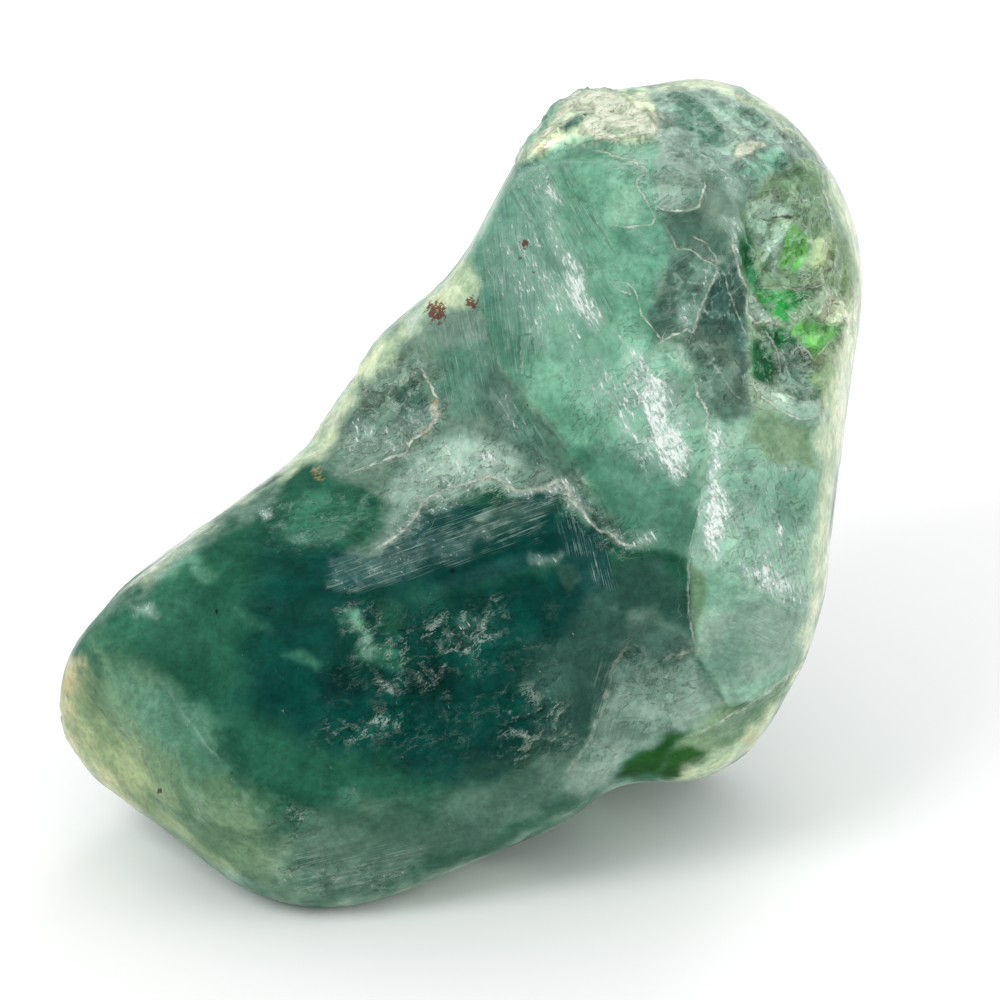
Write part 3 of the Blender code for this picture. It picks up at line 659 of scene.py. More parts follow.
    "window_foot": ([(753, 377), (776, 390), (801, 401), (821, 400), (819, 415), (804, 420), (779, 409),
                     (761, 394)], MILKY_JADE, 0.95, 2),
    "window_chip": ([(747, 297), (753, 294), (761, 306), (771, 321), (756, 323), (748, 314)],
                    MILKY_JADE, 1.0, 2),
    # Thin edges painted pale: painted glow of light shining through the thin stone
    "right_band_glow": ([(806, 126), (824, 150), (852, 220), (866, 280), (852, 400), (834, 560), (818, 620),
                    (808, 664), (806, 640), (814, 560), (820, 440), (828, 390), (846, 330), (856, 280),
                    (840, 220), (820, 166)], PALE_RIM, 0.9, 5),
    "right_edge": ([(846, 200), (868, 270), (856, 400), (840, 540), (822, 620), (810, 660), (818, 600),
                    (832, 500), (840, 400), (856, 330), (862, 280)], CREAM, 0.9, 5),
    "heel_edge": ([(811, 650), (803, 666), (760, 740), (768, 740), (812, 676)], CREAM, 0.85, 4),
    "saddle_band": ([(276, 478), (308, 443), (335, 399), (363, 357), (399, 322), (427, 297), (463, 258),
                     (470, 268), (430, 306), (424, 320), (399, 340), (391, 363), (352, 396), (333, 424),
                     (322, 452), (297, 467)], PALE_RIM, 0.85, 7),
    "crown_edge": ([(650, 82), (700, 72), (724, 84), (767, 102), (800, 130), (822, 160), (812, 152),
                    (780, 124), (740, 100), (700, 86), (664, 92)], PALE_RIM, 0.85, 4),
}

# Frost on the front, from nothing to one: outline, strength, softness
FROSTS = {
    "streak_high": ([(522, 186), (550, 190), (596, 272), (602, 334), (584, 326), (556, 280)], 0.62, 9),
    "streak_bright": ([(556, 272), (588, 268), (604, 318), (600, 338), (584, 328), (568, 306)], 1.0, 7),
    "streak_spots": ([(544, 182), (560, 184), (560, 204), (546, 200)], 0.9, 4),
    "streak_top": ([(508, 172), (560, 160), (578, 200), (560, 210), (530, 200)], 0.55, 12),
    "streak_right": ([(564, 160), (578, 166), (616, 252), (604, 244)], 0.35, 5),
    "jade_dust": ([(470, 280), (520, 180), (560, 240), (600, 340), (660, 380), (640, 460), (560, 380)],
                  0.48, 16),
    "chain_top": ([(588, 328), (606, 340), (636, 420), (654, 462), (620, 450), (604, 396)], 0.42, 8),
    "chain_small": ([(630, 334), (638, 340), (646, 366), (634, 366)], 0.7, 4),
    "chain": ([(634, 350), (652, 360), (668, 388), (678, 430), (694, 444), (692, 468), (676, 482),
               (660, 470), (650, 440), (644, 409), (640, 386)], 1.0, 6),
    "chain_mist": ([(616, 330), (660, 350), (700, 420), (704, 476), (650, 480), (600, 440)], 0.6, 14),
    "chain_left": ([(612, 438), (640, 444), (656, 466), (636, 464)], 0.75, 5),
    "chain_right": ([(684, 444), (706, 446), (704, 474), (690, 466)], 0.6, 5),
    "smoky": ([(676, 312), (692, 310), (692, 332), (674, 330)], 0.7, 5),
    "crown_rib": ([(660, 136), (676, 140), (742, 190), (730, 194), (690, 166)], 0.65, 5),
    "pillow_crust": ([(706, 426), (722, 426), (727, 446), (722, 476), (731, 500), (734, 530), (722, 552),
                      (700, 540), (698, 512), (712, 484), (707, 452)], 1.0, 6),
    "pillow_wisp": ([(724, 428), (740, 430), (736, 448), (726, 446)], 0.55, 5),
    "pillow_mint": ([(694, 540), (736, 546), (728, 566), (704, 570)], 0.6, 6),
    "pillow_dust": ([(728, 448), (800, 500), (812, 560), (806, 604), (740, 580)], 0.42, 10),
    "pillow_low": ([(731, 558), (770, 560), (806, 580), (804, 604), (776, 602), (740, 582)], 0.82, 6),
    "pillow_spot": ([(772, 520), (788, 524), (786, 542), (776, 538)], 0.8, 4),
    "pillow_line": ([(769, 460), (812, 474), (800, 484), (780, 474)], 0.55, 4),
    "veil": ([(400, 470), (430, 440), (496, 436), (556, 470), (500, 478), (440, 494), (380, 540)], 0.52, 8),
    "veil_fringe": ([(426, 504), (450, 492), (500, 480), (460, 506), (430, 520), (400, 540)], 0.6, 6),
    "crest_line": ([(372, 552), (376, 540), (405, 522), (424, 498), (480, 474), (494, 470), (520, 484),
                    (564, 474), (580, 500), (600, 526), (644, 540), (648, 550), (612, 540), (586, 522),
                    (566, 500), (545, 491), (512, 494), (492, 480), (430, 508), (408, 534)], 0.8, 4),
    "crest_end": ([(641, 530), (656, 532), (660, 542), (644, 546)], 0.7, 5),
    "valley": ([(474, 384), (510, 390), (560, 450), (560, 470), (500, 440)], 0.4, 12),
    "fan": ([(333, 560), (411, 534), (474, 520), (520, 504), (540, 510), (474, 546), (413, 577),
             (358, 591), (330, 585)], 0.3, 6),
    "fan_green": ([(530, 552), (560, 549), (556, 560), (530, 562)], 0.6, 4),
    "toe_sparkle": ([(131, 607), (150, 606), (156, 618), (140, 621)], 0.85, 5),
    "toe_top_sparkle": ([(259, 508), (273, 506), (272, 518), (260, 521)], 0.85, 3),
    "top_line": ([(150, 572), (234, 502), (296, 458), (290, 470), (236, 512), (156, 580)], 0.6, 5),
    "lattice": ([(440, 612), (478, 608), (500, 596), (500, 640), (470, 662), (430, 650)], 0.22, 6),
    "lattice_mid": ([(376, 676), (400, 680), (396, 702), (380, 696)], 0.3, 4),
    "lattice_low": ([(330, 728), (400, 712), (414, 726), (392, 738), (336, 738)], 0.2, 5),
    "lattice_right": ([(500, 700), (560, 690), (560, 740), (520, 760)], 0.15, 14),
    "cloud": ([(362, 632), (374, 636), (376, 658), (366, 658)], 0.55, 4),
    "bottom": ([(256, 862), (312, 866), (384, 868), (424, 850), (420, 866), (380, 892),
                (300, 896)], 0.36, 10),
    "side": ([(180, 780), (206, 790), (210, 840), (192, 830)], 0.36, 8),
    "frosted_face": ([(610, 664), (624, 664), (626, 690), (600, 752), (580, 780), (600, 720)], 0.34, 10),
    "window_edge": ([(726, 214), (742, 220), (742, 244), (734, 246)], 0.8, 4),
    "saddle_band": ([(300, 462), (336, 404), (400, 326), (430, 300), (426, 320), (400, 344), (344, 412)],
                    0.3, 6),
    "saddle_high": ([(404, 312), (430, 298), (430, 318), (406, 338)], 0.7, 5),
    "saddle_stripes": ([(446, 330), (492, 330), (484, 420), (456, 400)], 0.3, 10),
    "saddle_dust": ([(340, 450), (350, 420), (440, 400), (430, 440), (380, 462)], 0.5, 8),
    "lace_dust": ([(600, 146), (656, 150), (660, 216), (640, 200), (636, 168)], 0.45, 5),
    "saddle_speck": ([(411, 458), (422, 458), (421, 466), (412, 466)], 0.9, 3),
}

# Cream crust on the front: outline, strength, softness
CRUSTS = {
    "crest": ([(372, 552), (384, 540), (408, 526), (424, 500), (452, 486), (480, 474), (496, 474), (520, 484),
               (564, 476), (582, 500), (606, 530), (640, 544), (620, 546), (590, 526), (566, 496), (546, 491),
               (512, 494), (492, 482), (450, 494), (430, 508), (408, 534)], 0.55, 3),
    "crown": ([(512, 163), (544, 128), (566, 97), (579, 89), (610, 88), (627, 96), (644, 110), (660, 131),
               (656, 137), (633, 134), (621, 127), (608, 126), (621, 140), (600, 139), (579, 135),
               (577, 128), (590, 114), (591, 108), (576, 107), (567, 116), (553, 129), (536, 146)],
              0.95, 3),
    "crown_ledge": ([(652, 102), (664, 108), (674, 124), (668, 126), (656, 112)], 0.7, 3),
    "crown_flake": ([(739, 143), (753, 139), (767, 143), (768, 148), (750, 153), (738, 160), (731, 154)],
                    1.0, 3),
    "crown_rim": ([(660, 84), (700, 76), (730, 88), (726, 92), (700, 82), (664, 92)], 0.55, 4),
    "saddle_blob": ([(308, 466), (324, 461), (330, 471), (313, 485)], 0.5, 4),
    "saddle_arc": ([(428, 404), (438, 399), (440, 414), (428, 434), (420, 434), (428, 420)], 0.8, 3),
    "heel_flake": ([(659, 667), (666, 654), (680, 647), (703, 644), (706, 655), (689, 657), (671, 661)],
                   0.55, 4),
    "heel_flake_low": ([(697, 657), (711, 654), (720, 670), (718, 674), (697, 668)], 0.45, 4),
    "heel_flake_right": ([(720, 680), (731, 677), (754, 683), (737, 689), (722, 686)], 0.45, 4),
    "toe_tip": ([(54, 700), (64, 672), (76, 672), (74, 690), (62, 700)], 0.35, 6),
}

# Fine pale lines on the front: the line, its strength and its half width in spots
VEINS = {
    "crest_upper": ([(424, 502), (447, 490), (463, 485), (480, 479), (491, 474), (499, 481), (516, 490),
                     (547, 486), (563, 479)], 0.9, 1.6),
    "crest_left": ([(372, 550), (386, 541), (405, 531), (416, 518), (424, 502)], 0.9, 2.2),
    "crest_right": ([(566, 499), (572, 499), (586, 516), (599, 531), (613, 535), (624, 543), (641, 545)],
                    0.9, 1.6),
    "crest_triangle": ([(558, 477), (572, 496), (556, 492), (545, 487)], 0.7, 1.2),
    "saddle_arc": ([(419, 363), (430, 382), (438, 399), (433, 416), (424, 432), (411, 441), (405, 452),
                    (377, 463), (347, 474)], 0.85, 1.6),
    "saddle_crack": ([(338, 444), (352, 434), (366, 444), (384, 440), (404, 452)], 0.4, 0.8),
    "top_line": ([(120, 592), (160, 562), (200, 528), (240, 500), (296, 458)], 0.8, 1.6),
    "lace": ([(596, 151), (610, 156), (633, 160), (650, 171), (636, 183), (639, 194), (647, 203),
              (656, 217), (654, 225), (626, 226), (612, 224)], 0.7, 1.3),
    "lobe": ([(658, 206), (667, 211), (679, 213), (693, 210), (700, 206), (703, 197), (704, 180)], 0.9, 1.4),
    "lobe_vein": ([(662, 150), (676, 153), (690, 150)], 0.35, 0.9),
    "neck": ([(667, 226), (674, 240), (677, 249), (690, 251), (701, 257), (719, 266)], 0.5, 1.0),
    "neck_flake": ([(693, 237), (707, 244), (716, 256), (720, 265)], 0.45, 0.9),
    "flake": ([(719, 266), (709, 289), (701, 311), (693, 334), (689, 330), (673, 334),
               (660, 345)], 0.85, 1.2),
    "flake_left": ([(644, 318), (652, 328), (662, 340)], 0.7, 1.2),
    "strip": ([(722, 270), (728, 290), (736, 311), (747, 334)], 0.5, 0.9),
    "strip_low": ([(708, 362), (724, 380), (744, 400)], 0.3, 0.9),
    "jade_loop": ([(610, 280), (627, 283), (637, 291), (640, 306), (641, 320)], 0.6, 1.0),
    "jade_flake": ([(612, 281), (620, 290), (632, 294), (626, 284)], 0.5, 0.9),
    "window_ridge": ([(732, 236), (736, 257), (741, 276), (747, 289)], 0.8, 1.6),
    "window_shelf": ([(753, 286), (773, 286), (796, 290), (819, 287), (824, 285)], 0.8, 1.1),
    "window_arc": ([(793, 217), (801, 222), (807, 229), (811, 243)], 0.5, 0.9),
    "window_chip": ([(747, 298), (753, 294), (761, 306), (771, 321), (756, 324), (748, 314), (747, 298)],
                    0.8, 1.2),
    "window_crystal": ([(787, 309), (798, 312), (807, 300), (810, 314), (793, 319), (787, 309)], 0.75, 1.1),
    "window_crystal_low": ([(800, 300), (804, 314), (796, 320)], 0.6, 0.8),
    "window_block": ([(824, 288), (832, 300), (828, 312), (842, 318), (856, 322), (830, 327), (818, 318)],
                     0.7, 1.1),
    "window_lime": ([(802, 344), (817, 359), (833, 340)], 0.6, 0.9),
    "window_smoke": ([(764, 330), (776, 348), (790, 356), (800, 346), (806, 358)], 0.6, 1.0),
    "window_smoke_low": ([(779, 350), (782, 372), (776, 390)], 0.4, 0.9),
    "foot": ([(753, 378), (761, 396), (779, 410), (804, 420), (819, 415), (822, 401)], 0.85, 1.4),
    "foot_top": ([(776, 390), (801, 401), (821, 400)], 0.4, 0.9),
    "right_flake": ([(821, 170), (824, 190), (830, 200), (833, 216), (832, 232), (838, 240)], 0.7, 1.4),
    "right_outline": ([(793, 158), (813, 161), (821, 170)], 0.35, 1.0),
    "olive_outline": ([(773, 194), (793, 192), (800, 203)], 0.4, 0.9),
    "seam": ([(694, 380), (700, 397), (706, 414), (706, 429)], 0.8, 1.4),
    "pillow_side": ([(703, 491), (697, 514), (691, 540), (690, 563), (686, 591), (688, 620), (694, 643)],
                    0.45, 1.2),
    "pillow_corner": ([(820, 410), (826, 440), (828, 470)], 0.35, 1.0),
    "heel_spine": ([(690, 734), (720, 722), (760, 697), (803, 664)], 0.5, 1.6),
    "frost_side": ([(560, 780), (586, 748), (603, 709), (612, 672), (628, 645)], 0.22, 2.0),
    "groove": ([(84, 690), (112, 721), (143, 752), (156, 784), (166, 816)], -0.3, 1.6),
    "window_hair": ([(770, 219), (779, 216), (788, 216), (797, 220)], -1.0, 1.3),
}

# Scratched places: outline, the way the scratches run, strength, softness
SCRATCHES = {
    "streak": ([(512, 172), (560, 160), (622, 262), (608, 338), (584, 330), (540, 240)], (70, 130), 1.3, 6),
    "saddle_strokes": ([(478, 384), (500, 380), (560, 450), (566, 474), (520, 440)], (60, 100), 0.7, 6),
    "jade_diagonal": ([(508, 168), (570, 156), (616, 250), (600, 334), (560, 280), (520, 210)],
                      (70, 130), 1.0, 8),
    "jade_left": ([(470, 290), (508, 190), (540, 230), (548, 330), (534, 392), (497, 363)],
                  (10, 100), 1.0, 8),
    "jade_bar": ([(517, 334), (532, 332), (530, 380), (518, 378)], (-6, 100), 1.5, 3),
    "crown_rib": ([(660, 134), (680, 138), (744, 190), (716, 192)], (78, 60), 1.0, 4),
    "crown": ([(664, 90), (720, 80), (800, 140), (770, 150), (700, 120)], (80, 62), 0.45, 6),
    "saddle": ([(430, 330), (490, 300), (497, 363), (484, 420), (446, 410)], (22, 100), 0.85, 8),
    "fan": ([(332, 556), (400, 536), (474, 500), (556, 500), (540, 540), (470, 556), (413, 578),
             (358, 592), (330, 586)], (100, -36), 0.8, 5),
    "fan_strokes": ([(556, 508), (580, 516), (586, 556), (566, 556)], (24, 100), 0.95, 4),
    "fan_strokes_right": ([(584, 530), (604, 536), (616, 588), (596, 588)], (24, 100), 1.0, 4),
    "crest_right": ([(566, 480), (600, 500), (640, 544), (612, 536), (580, 508)], (34, 100), 0.7, 5),
    "valley": ([(500, 380), (566, 456), (572, 474), (530, 460), (500, 420)], (100, -46), 0.45, 8),
    "pillow_hatch": ([(716, 606), (770, 596), (812, 612), (806, 650), (770, 652), (724, 622)],
                     (70, 34), 0.8, 6),
    "pillow_fibres": ([(732, 500), (806, 520), (808, 604), (740, 584)], (24, 100), 0.75, 8),
    "heel": ([(690, 736), (760, 690), (812, 650), (770, 712), (716, 744)], (100, -62), 0.75, 5),
    "frosted_face": ([(600, 664), (640, 664), (640, 730), (590, 770)], (-30, 100), 0.5, 8),
    "bottom": ([(260, 850), (430, 846), (420, 872), (340, 896), (270, 890)], (100, -22), 0.55, 8),
    "right_edge": ([(812, 400), (850, 330), (840, 500), (814, 640)], (-8, 100), 0.3, 6),
    "toe_top": ([(230, 500), (300, 454), (300, 466), (240, 508)], (100, -66), 1.0, 4),
    "saddle_band": ([(300, 462), (400, 326), (460, 262), (470, 280), (352, 400)], (70, -90), 0.3, 5),
}

# Crackled places inside the front: outline, strength, softness
CRACKLES = {
    "cloud": ([(336, 600), (376, 598), (412, 640), (402, 672), (348, 662)], 0.6, 6),
    "cloud_lobe": ([(266, 500), (370, 492), (380, 520), (330, 548), (270, 546)], 0.4, 8),
    "lattice": ([(418, 640), (440, 612), (478, 608), (502, 598), (500, 640), (478, 664),
                 (430, 660)], 0.85, 6),
    "lattice_dark": ([(416, 664), (450, 656), (440, 690), (424, 700)], 0.7, 5),
    "lattice_mid": ([(376, 674), (404, 678), (396, 704), (380, 698)], 1.0, 4),
    "lattice_low": ([(328, 730), (400, 708), (416, 690), (414, 730), (392, 740), (334, 738)], 0.9, 5),
    "lattice_right": ([(500, 690), (560, 680), (566, 740), (520, 770), (496, 740)], 0.7, 12),
    "toe_middle": ([(340, 640), (420, 600), (560, 600), (560, 760), (380, 760), (320, 740)], 0.14, 20),
    "crown_edge": ([(510, 166), (544, 128), (570, 92), (610, 86), (660, 110), (664, 140),
                    (600, 144)], 1.0, 5),
    "crest": ([(360, 560), (400, 520), (424, 490), (480, 468), (564, 470), (600, 510), (656, 536),
               (640, 556), (590, 540), (560, 502), (480, 496), (430, 516)], 1.0, 5),
    "frosted_hollow": ([(620, 640), (690, 650), (720, 690), (640, 740), (600, 780), (590, 740)], 0.4, 10),
    "lobe": ([(600, 148), (660, 150), (704, 180), (700, 212), (660, 214), (640, 190)], 0.5, 6),
    "saddle": ([(330, 462), (350, 410), (400, 350), (440, 380), (440, 440), (380, 466)], 1.0, 8),
    "veil": ([(380, 500), (430, 440), (500, 440), (560, 476), (500, 478), (424, 504)], 0.9, 10),
    "valley": ([(480, 400), (540, 420), (574, 474), (510, 470)], 0.3, 10),
    "window": ([(748, 200), (800, 180), (830, 230), (856, 310), (820, 400), (760, 396), (746, 290)], 1.0, 5),
    "smoky": ([(650, 250), (744, 240), (752, 400), (706, 410), (650, 330)], 0.3, 8),
    "frost_chain": ([(630, 330), (690, 400), (704, 470), (650, 470), (610, 440)], 0.7, 10),
    "pillow": ([(706, 430), (740, 440), (812, 480), (808, 606), (700, 560)], 0.5, 10),
    "crown": ([(520, 160), (570, 92), (660, 86), (800, 130), (820, 180), (740, 190), (660, 140)], 0.6, 6),
    "bottom": ([(256, 860), (312, 866), (384, 868), (424, 850), (420, 866), (380, 892), (300, 896)], 0.6, 8),
    "bottom_left": ([(282, 806), (314, 810), (312, 842), (288, 840)], 0.6, 6),
    "mark": ([(340, 794), (350, 792), (352, 804), (342, 804)], 0.6, 4),
    "jade": ([(560, 380), (640, 400), (650, 470), (600, 450)], 0.4, 14),
}

# Rust and dark grains on the front: place, half width in spots, and how red
GRAINS = {
    "rust_saddle": ((436, 312), 15, 0.9),
    "rust_corner": ((472, 303), 10, 0.85),
    "rust_high": ((484, 280), 3, 0.9),
    "rust_jade": ((525, 245), 7, 0.9),
    "rust_jade_low": ((520, 259), 3, 0.8),
    "rust_jade_right": ((534, 272), 4, 0.7),
    "dark_valley": ((527, 405), 3, 0.2),
    "dark_toe_top": ((217, 596), 2, 0.0),
    "dark_toe": ((217, 612), 4, 0.0),
    "dark_toe_right": ((231, 608), 2, 0.0),
    "dark_low": ((232, 773), 4, 0.0),
    "dark_side": ((160, 791), 5, 0.0),
    "dark_fan": ((452, 571), 6, 0.0),
    "dark_crest": ((640, 549), 3, 0.1),
}

# Ochre stains on the front: place and half width in spots
STAINS = {
    "saddle_top": ((438, 304), 15),
    "saddle_arc": ((435, 402), 9),
    "saddle_arc_low": ((425, 432), 10),
    "saddle_blob": ((318, 474), 12),
    "crown_left": ((540, 150), 12),
    "valley_dot": ((551, 463), 4),
    "toe_dot": ((424, 676), 3),
    "tip": ((66, 684), 18),
    "heel": ((752, 738), 14),
}


def blend_colour(under, over, amount):
    """One colour laid over another by an amount at each point."""
    amount = np.asarray(amount)[:, None]
    return under * (1 - amount) + over * amount


def strongest_zone(table, spots, widen, extra):
    """The strongest of a table's zones at each spot, with every zone's edge softened alike."""
    strongest = np.zeros(len(spots))
    for outline, strength, softness in table.values():
        soft = softness * widen + extra
        strongest = np.maximum(strongest, ease(inside_by(spots, outline), -soft, soft) * strength)
    return strongest


def near_places(places, spots):
    """How near each spot is to the nearest of some places, each given with its half width."""
    nearest = np.zeros(len(spots))
    for place, width in places:
        nearest = np.maximum(nearest, np.exp(-(((spots - np.array(place)) ** 2).sum(axis=1)) / width**2))
    return nearest


class Look:
    """What the paint goes by at each point of the skin: noise, wear, thinness and the eye's side."""

    def __init__(self, skin):
        self.skin = skin
        self.warp = np.stack([rumple(skin.seen, 5.0, 4, 50.0), rumple(skin.seen, 5.0, 4, 60.0)], 1)
        self.depth = rumple(skin.seen, 26.0, 3, 70.0)
        self.cloud = rumple(skin.seen, 10.0, 4, 80.0)
        self.thin = thinness(skin)
        self.worn = worn_edges(skin)
        self.front = ease(skin.towards_eye + self.cloud * 0.3 + self.warp[:, 0] * 0.1, -0.3, 0.02)
        self.faced = ease(skin.towards_eye + self.cloud * 0.1, 0.0, 0.24)
        self.broken = np.zeros(len(skin.seen))
        for name in ("window", "crown", "smoky"):
            amount = ease(inside_by(skin.spots, BREAKS[name][0]), -6, 6)
            self.broken = np.maximum(self.broken, amount * self.front)
        _, self.chip_tone, self.chip_edge = chips(skin.seen + self.warp[:, :1] * 0.8, 3.0, 11)

    def warped(self, spots):
        """The skin's spots pushed about by so many spots of noise."""
        return self.skin.spots + self.warp * spots


def hidden_colour(look):
    """The colour all round by rule: deep in the toe, paler up the leg, palest where worn, and pale with
    painted glow where thin.
    """
    skin, cloud, worn = look.skin, look.cloud, look.worn
    leg = ease(skin.seen[:, 1] + look.depth * 16, -10, 40)
    deep = blend_colour(DIM_GREEN, BOTTLE_GREEN, ease(look.depth, -0.3, 0.35))
    pale = blend_colour(SHADED_JADE, PALE_JADE, ease(cloud, -0.4, 0.5))
    colour = blend_colour(deep, pale, leg * 0.85 + ease(cloud, 0.15, 0.9) * 0.3 * (1 - leg))
    colour = colour * (0.86 + 0.3 * slabs_behind(skin.seen)[1])[:, None]
    colour = blend_colour(colour, MIST, ease(worn, 0.1, 0.7) * 0.6)
    rim = ease(skin.towards_eye, -0.6, -0.1) * ease(cloud + look.depth, -0.5, 0.5)
    colour = blend_colour(colour, MILKY_JADE, rim * 0.75)
    # Painted glow: where the stone is thin, pale rim colour stands in for light shining through it
    colour = blend_colour(colour, PALE_RIM, ease(look.thin, 0.3, 0.9) * 0.75)
    return blend_colour(colour, PALE_JADE, ease(worn, 0.45, 1.0) * 0.4)


def front_colour(look, colour):
    """The clouds of the front laid over the colour, and each chip of the broken places in its tone."""
    for outline, cloud_colour, strength, softness in CLOUDS.values():
        crisp = softness <= CRISP_EDGE
        soft = softness if crisp else 1.3 * softness + 0.5
        reach = inside_by(look.warped(3.0 if crisp else min(3.0 + softness, 14.0)), outline)
        colour = blend_colour(colour, cloud_colour, ease(reach, -soft, soft) * strength * look.faced)
    return colour * (1 + look.broken * (look.chip_tone - 0.4) * 0.6)[:, None]


def frost_and_crust(look):
    """Frost and crust: worn edges behind, the drawn zones in front, and the rims of broken chips."""
    behind = 1 - look.front
    frost = (ease(look.worn, 0.3, 1.0) * 0.5 + ease(look.cloud, 0.3, 0.8) * 0.35) * behind
    frost = np.maximum(frost, ease(look.worn, 0.5, 1.4) * 0.3)
    chip_rims = ease(-look.chip_edge, -0.35, -0.05) * 0.5 * (look.chip_tone > 0.45)
    frost = np.maximum(frost, look.broken * chip_rims)
    frost = np.maximum(frost, strongest_zone(FROSTS, look.warped(9.0), 1.5, 4) * look.faced)
    crust = ease(look.worn, 0.8, 1.3) * 0.5 * behind
    crust = np.maximum(crust, strongest_zone(CRUSTS, look.warped(4.0), 1.0, 1) * look.faced)
    return frost, crust


def nearest_vein(look):
    """How many half widths away the nearest vein is, and how strong that vein is."""
    spots = look.warped(3.0)
    away = np.full(len(spots), VEIN_LIMIT)
    tone = np.zeros(len(spots))
    for line, strength, width in VEINS.values():
        reach, place = line_reach(spots, line, 20.0)
        reach = reach / width
        closer = np.abs(reach) < np.abs(away)
        away = np.where(closer, np.clip(reach, -VEIN_LIMIT, VEIN_LIMIT), away)
        ends = np.clip(10 * place * (1 - place) + 0.25, 0, 1)
        tone = np.where(closer, strength * ends * look.front, tone)
    return away, tone


def scratch_places(look):
    """Where each point lies across and along its scratches, and how scratched it is."""
    spots = look.skin.spots
    places = np.zeros((len(spots), 3))
    scratched = np.zeros(len(spots))
    for index, (outline, way, strength, softness) in enumerate(SCRATCHES.values()):
        along = np.array(way) / math.hypot(*way)
        across = np.array([along[1], -along[0]])
        amount = ease(inside_by(look.warped(4.0), outline), -softness, softness) * strength * look.front
        here = np.stack([spots @ across, spots @ along, np.full(len(spots), index * 40.0)], axis=1)
        places = np.where((amount > scratched)[:, None], here, places)
        scratched = np.maximum(scratched, amount)
    return places * SPOT, scratched


def paint(skin, mesh):
    """Works out the stone's colour, frost, crust, veins and grains, and stores them on the mesh."""
    look = Look(skin)
    colour = front_colour(look, hidden_colour(look))
    frost, crust = frost_and_crust(look)
    line_away, line_tone = nearest_vein(look)
    places, scratched = scratch_places(look)
    crackled = (0.25 + ease(look.cloud, -0.1, 0.6) * 0.5) * (1 - look.front)
    zones = strongest_zone(CRACKLES, look.warped(14.0), 1.0, 6)
    waxy = ease(colour.max(axis=1), 0.08, 0.4) * 0.4 * (1 - crust)
    rust = np.zeros(len(frost))
    dark = np.zeros(len(frost))
    for place, width, red in GRAINS.values():
        amount = near_places([(place, width)], skin.spots) * look.front
        rust = np.maximum(rust, amount * red)
        dark = np.maximum(dark, amount * (1 - red))

    rows = np.concatenate([colour, np.ones((len(colour), 1))], axis=1).astype(np.float32)
    mesh.attributes.new("body_colour", "FLOAT_COLOR", "POINT").data.foreach_set("color", rows.ravel())
    scratch_place = mesh.attributes.new("scratch_place", "FLOAT_VECTOR", "POINT")
    scratch_place.data.foreach_set("vector", places.astype(np.float32).ravel())
    add_values(mesh, "frost", frost)
    add_values(mesh, "crust", crust)
    add_values(mesh, "line_away", line_away)
    add_values(mesh, "line_tone", line_tone)
    add_values(mesh, "scratched", scratched)
    add_values(mesh, "crackled", np.maximum(crackled, zones * look.front))
    add_values(mesh, "waxy", np.clip(waxy, 0, 1))
    add_values(mesh, "ochre", near_places(STAINS.values(), skin.spots) * look.front)
    add_values(mesh, "rust", rust)
    add_values(mesh, "dark", dark)


def thinness(skin):
    """One where the stone is only a few millimetres thick behind a point, zero where it is deep."""
    tree = BVHTree.FromPolygons(
        [Vector(p) for p in skin.points], [tuple(face.vertices) for face in skin.mesh.polygons]
    )
    reach = np.full(len(skin.points), 60.0)
    for index, (point, normal) in enumerate(zip(skin.points, skin.normals)):
        inwards = Vector(-normal)
        hit = tree.ray_cast(Vector(point) + inwards * 0.0004, inwards, 0.03)
        if hit[3] is not None:
            reach[index] = hit[3] / MM
    return skin.spread(ease(-reach, -22, -6), 6)


def worn_edges(skin):
    """About one on sharp outward edges, zero on flats, below zero in hollows."""
    smooth = skin.spread(skin.points, 10)
    stand_out = ((skin.points - smooth) * skin.normals).sum(axis=1) / MM
    a, b = skin.edges.T
    length = np.sqrt(((skin.points[a] - skin.points[b]) ** 2).sum(axis=1)) / MM
    count = len(skin.degree)
    total = np.bincount(a, weights=length, minlength=count) + np.bincount(b, weights=length, minlength=count)
    spacing = skin.spread(total / skin.degree, 3)
    return skin.spread(stand_out, 2) / (0.34 * spacing**2)


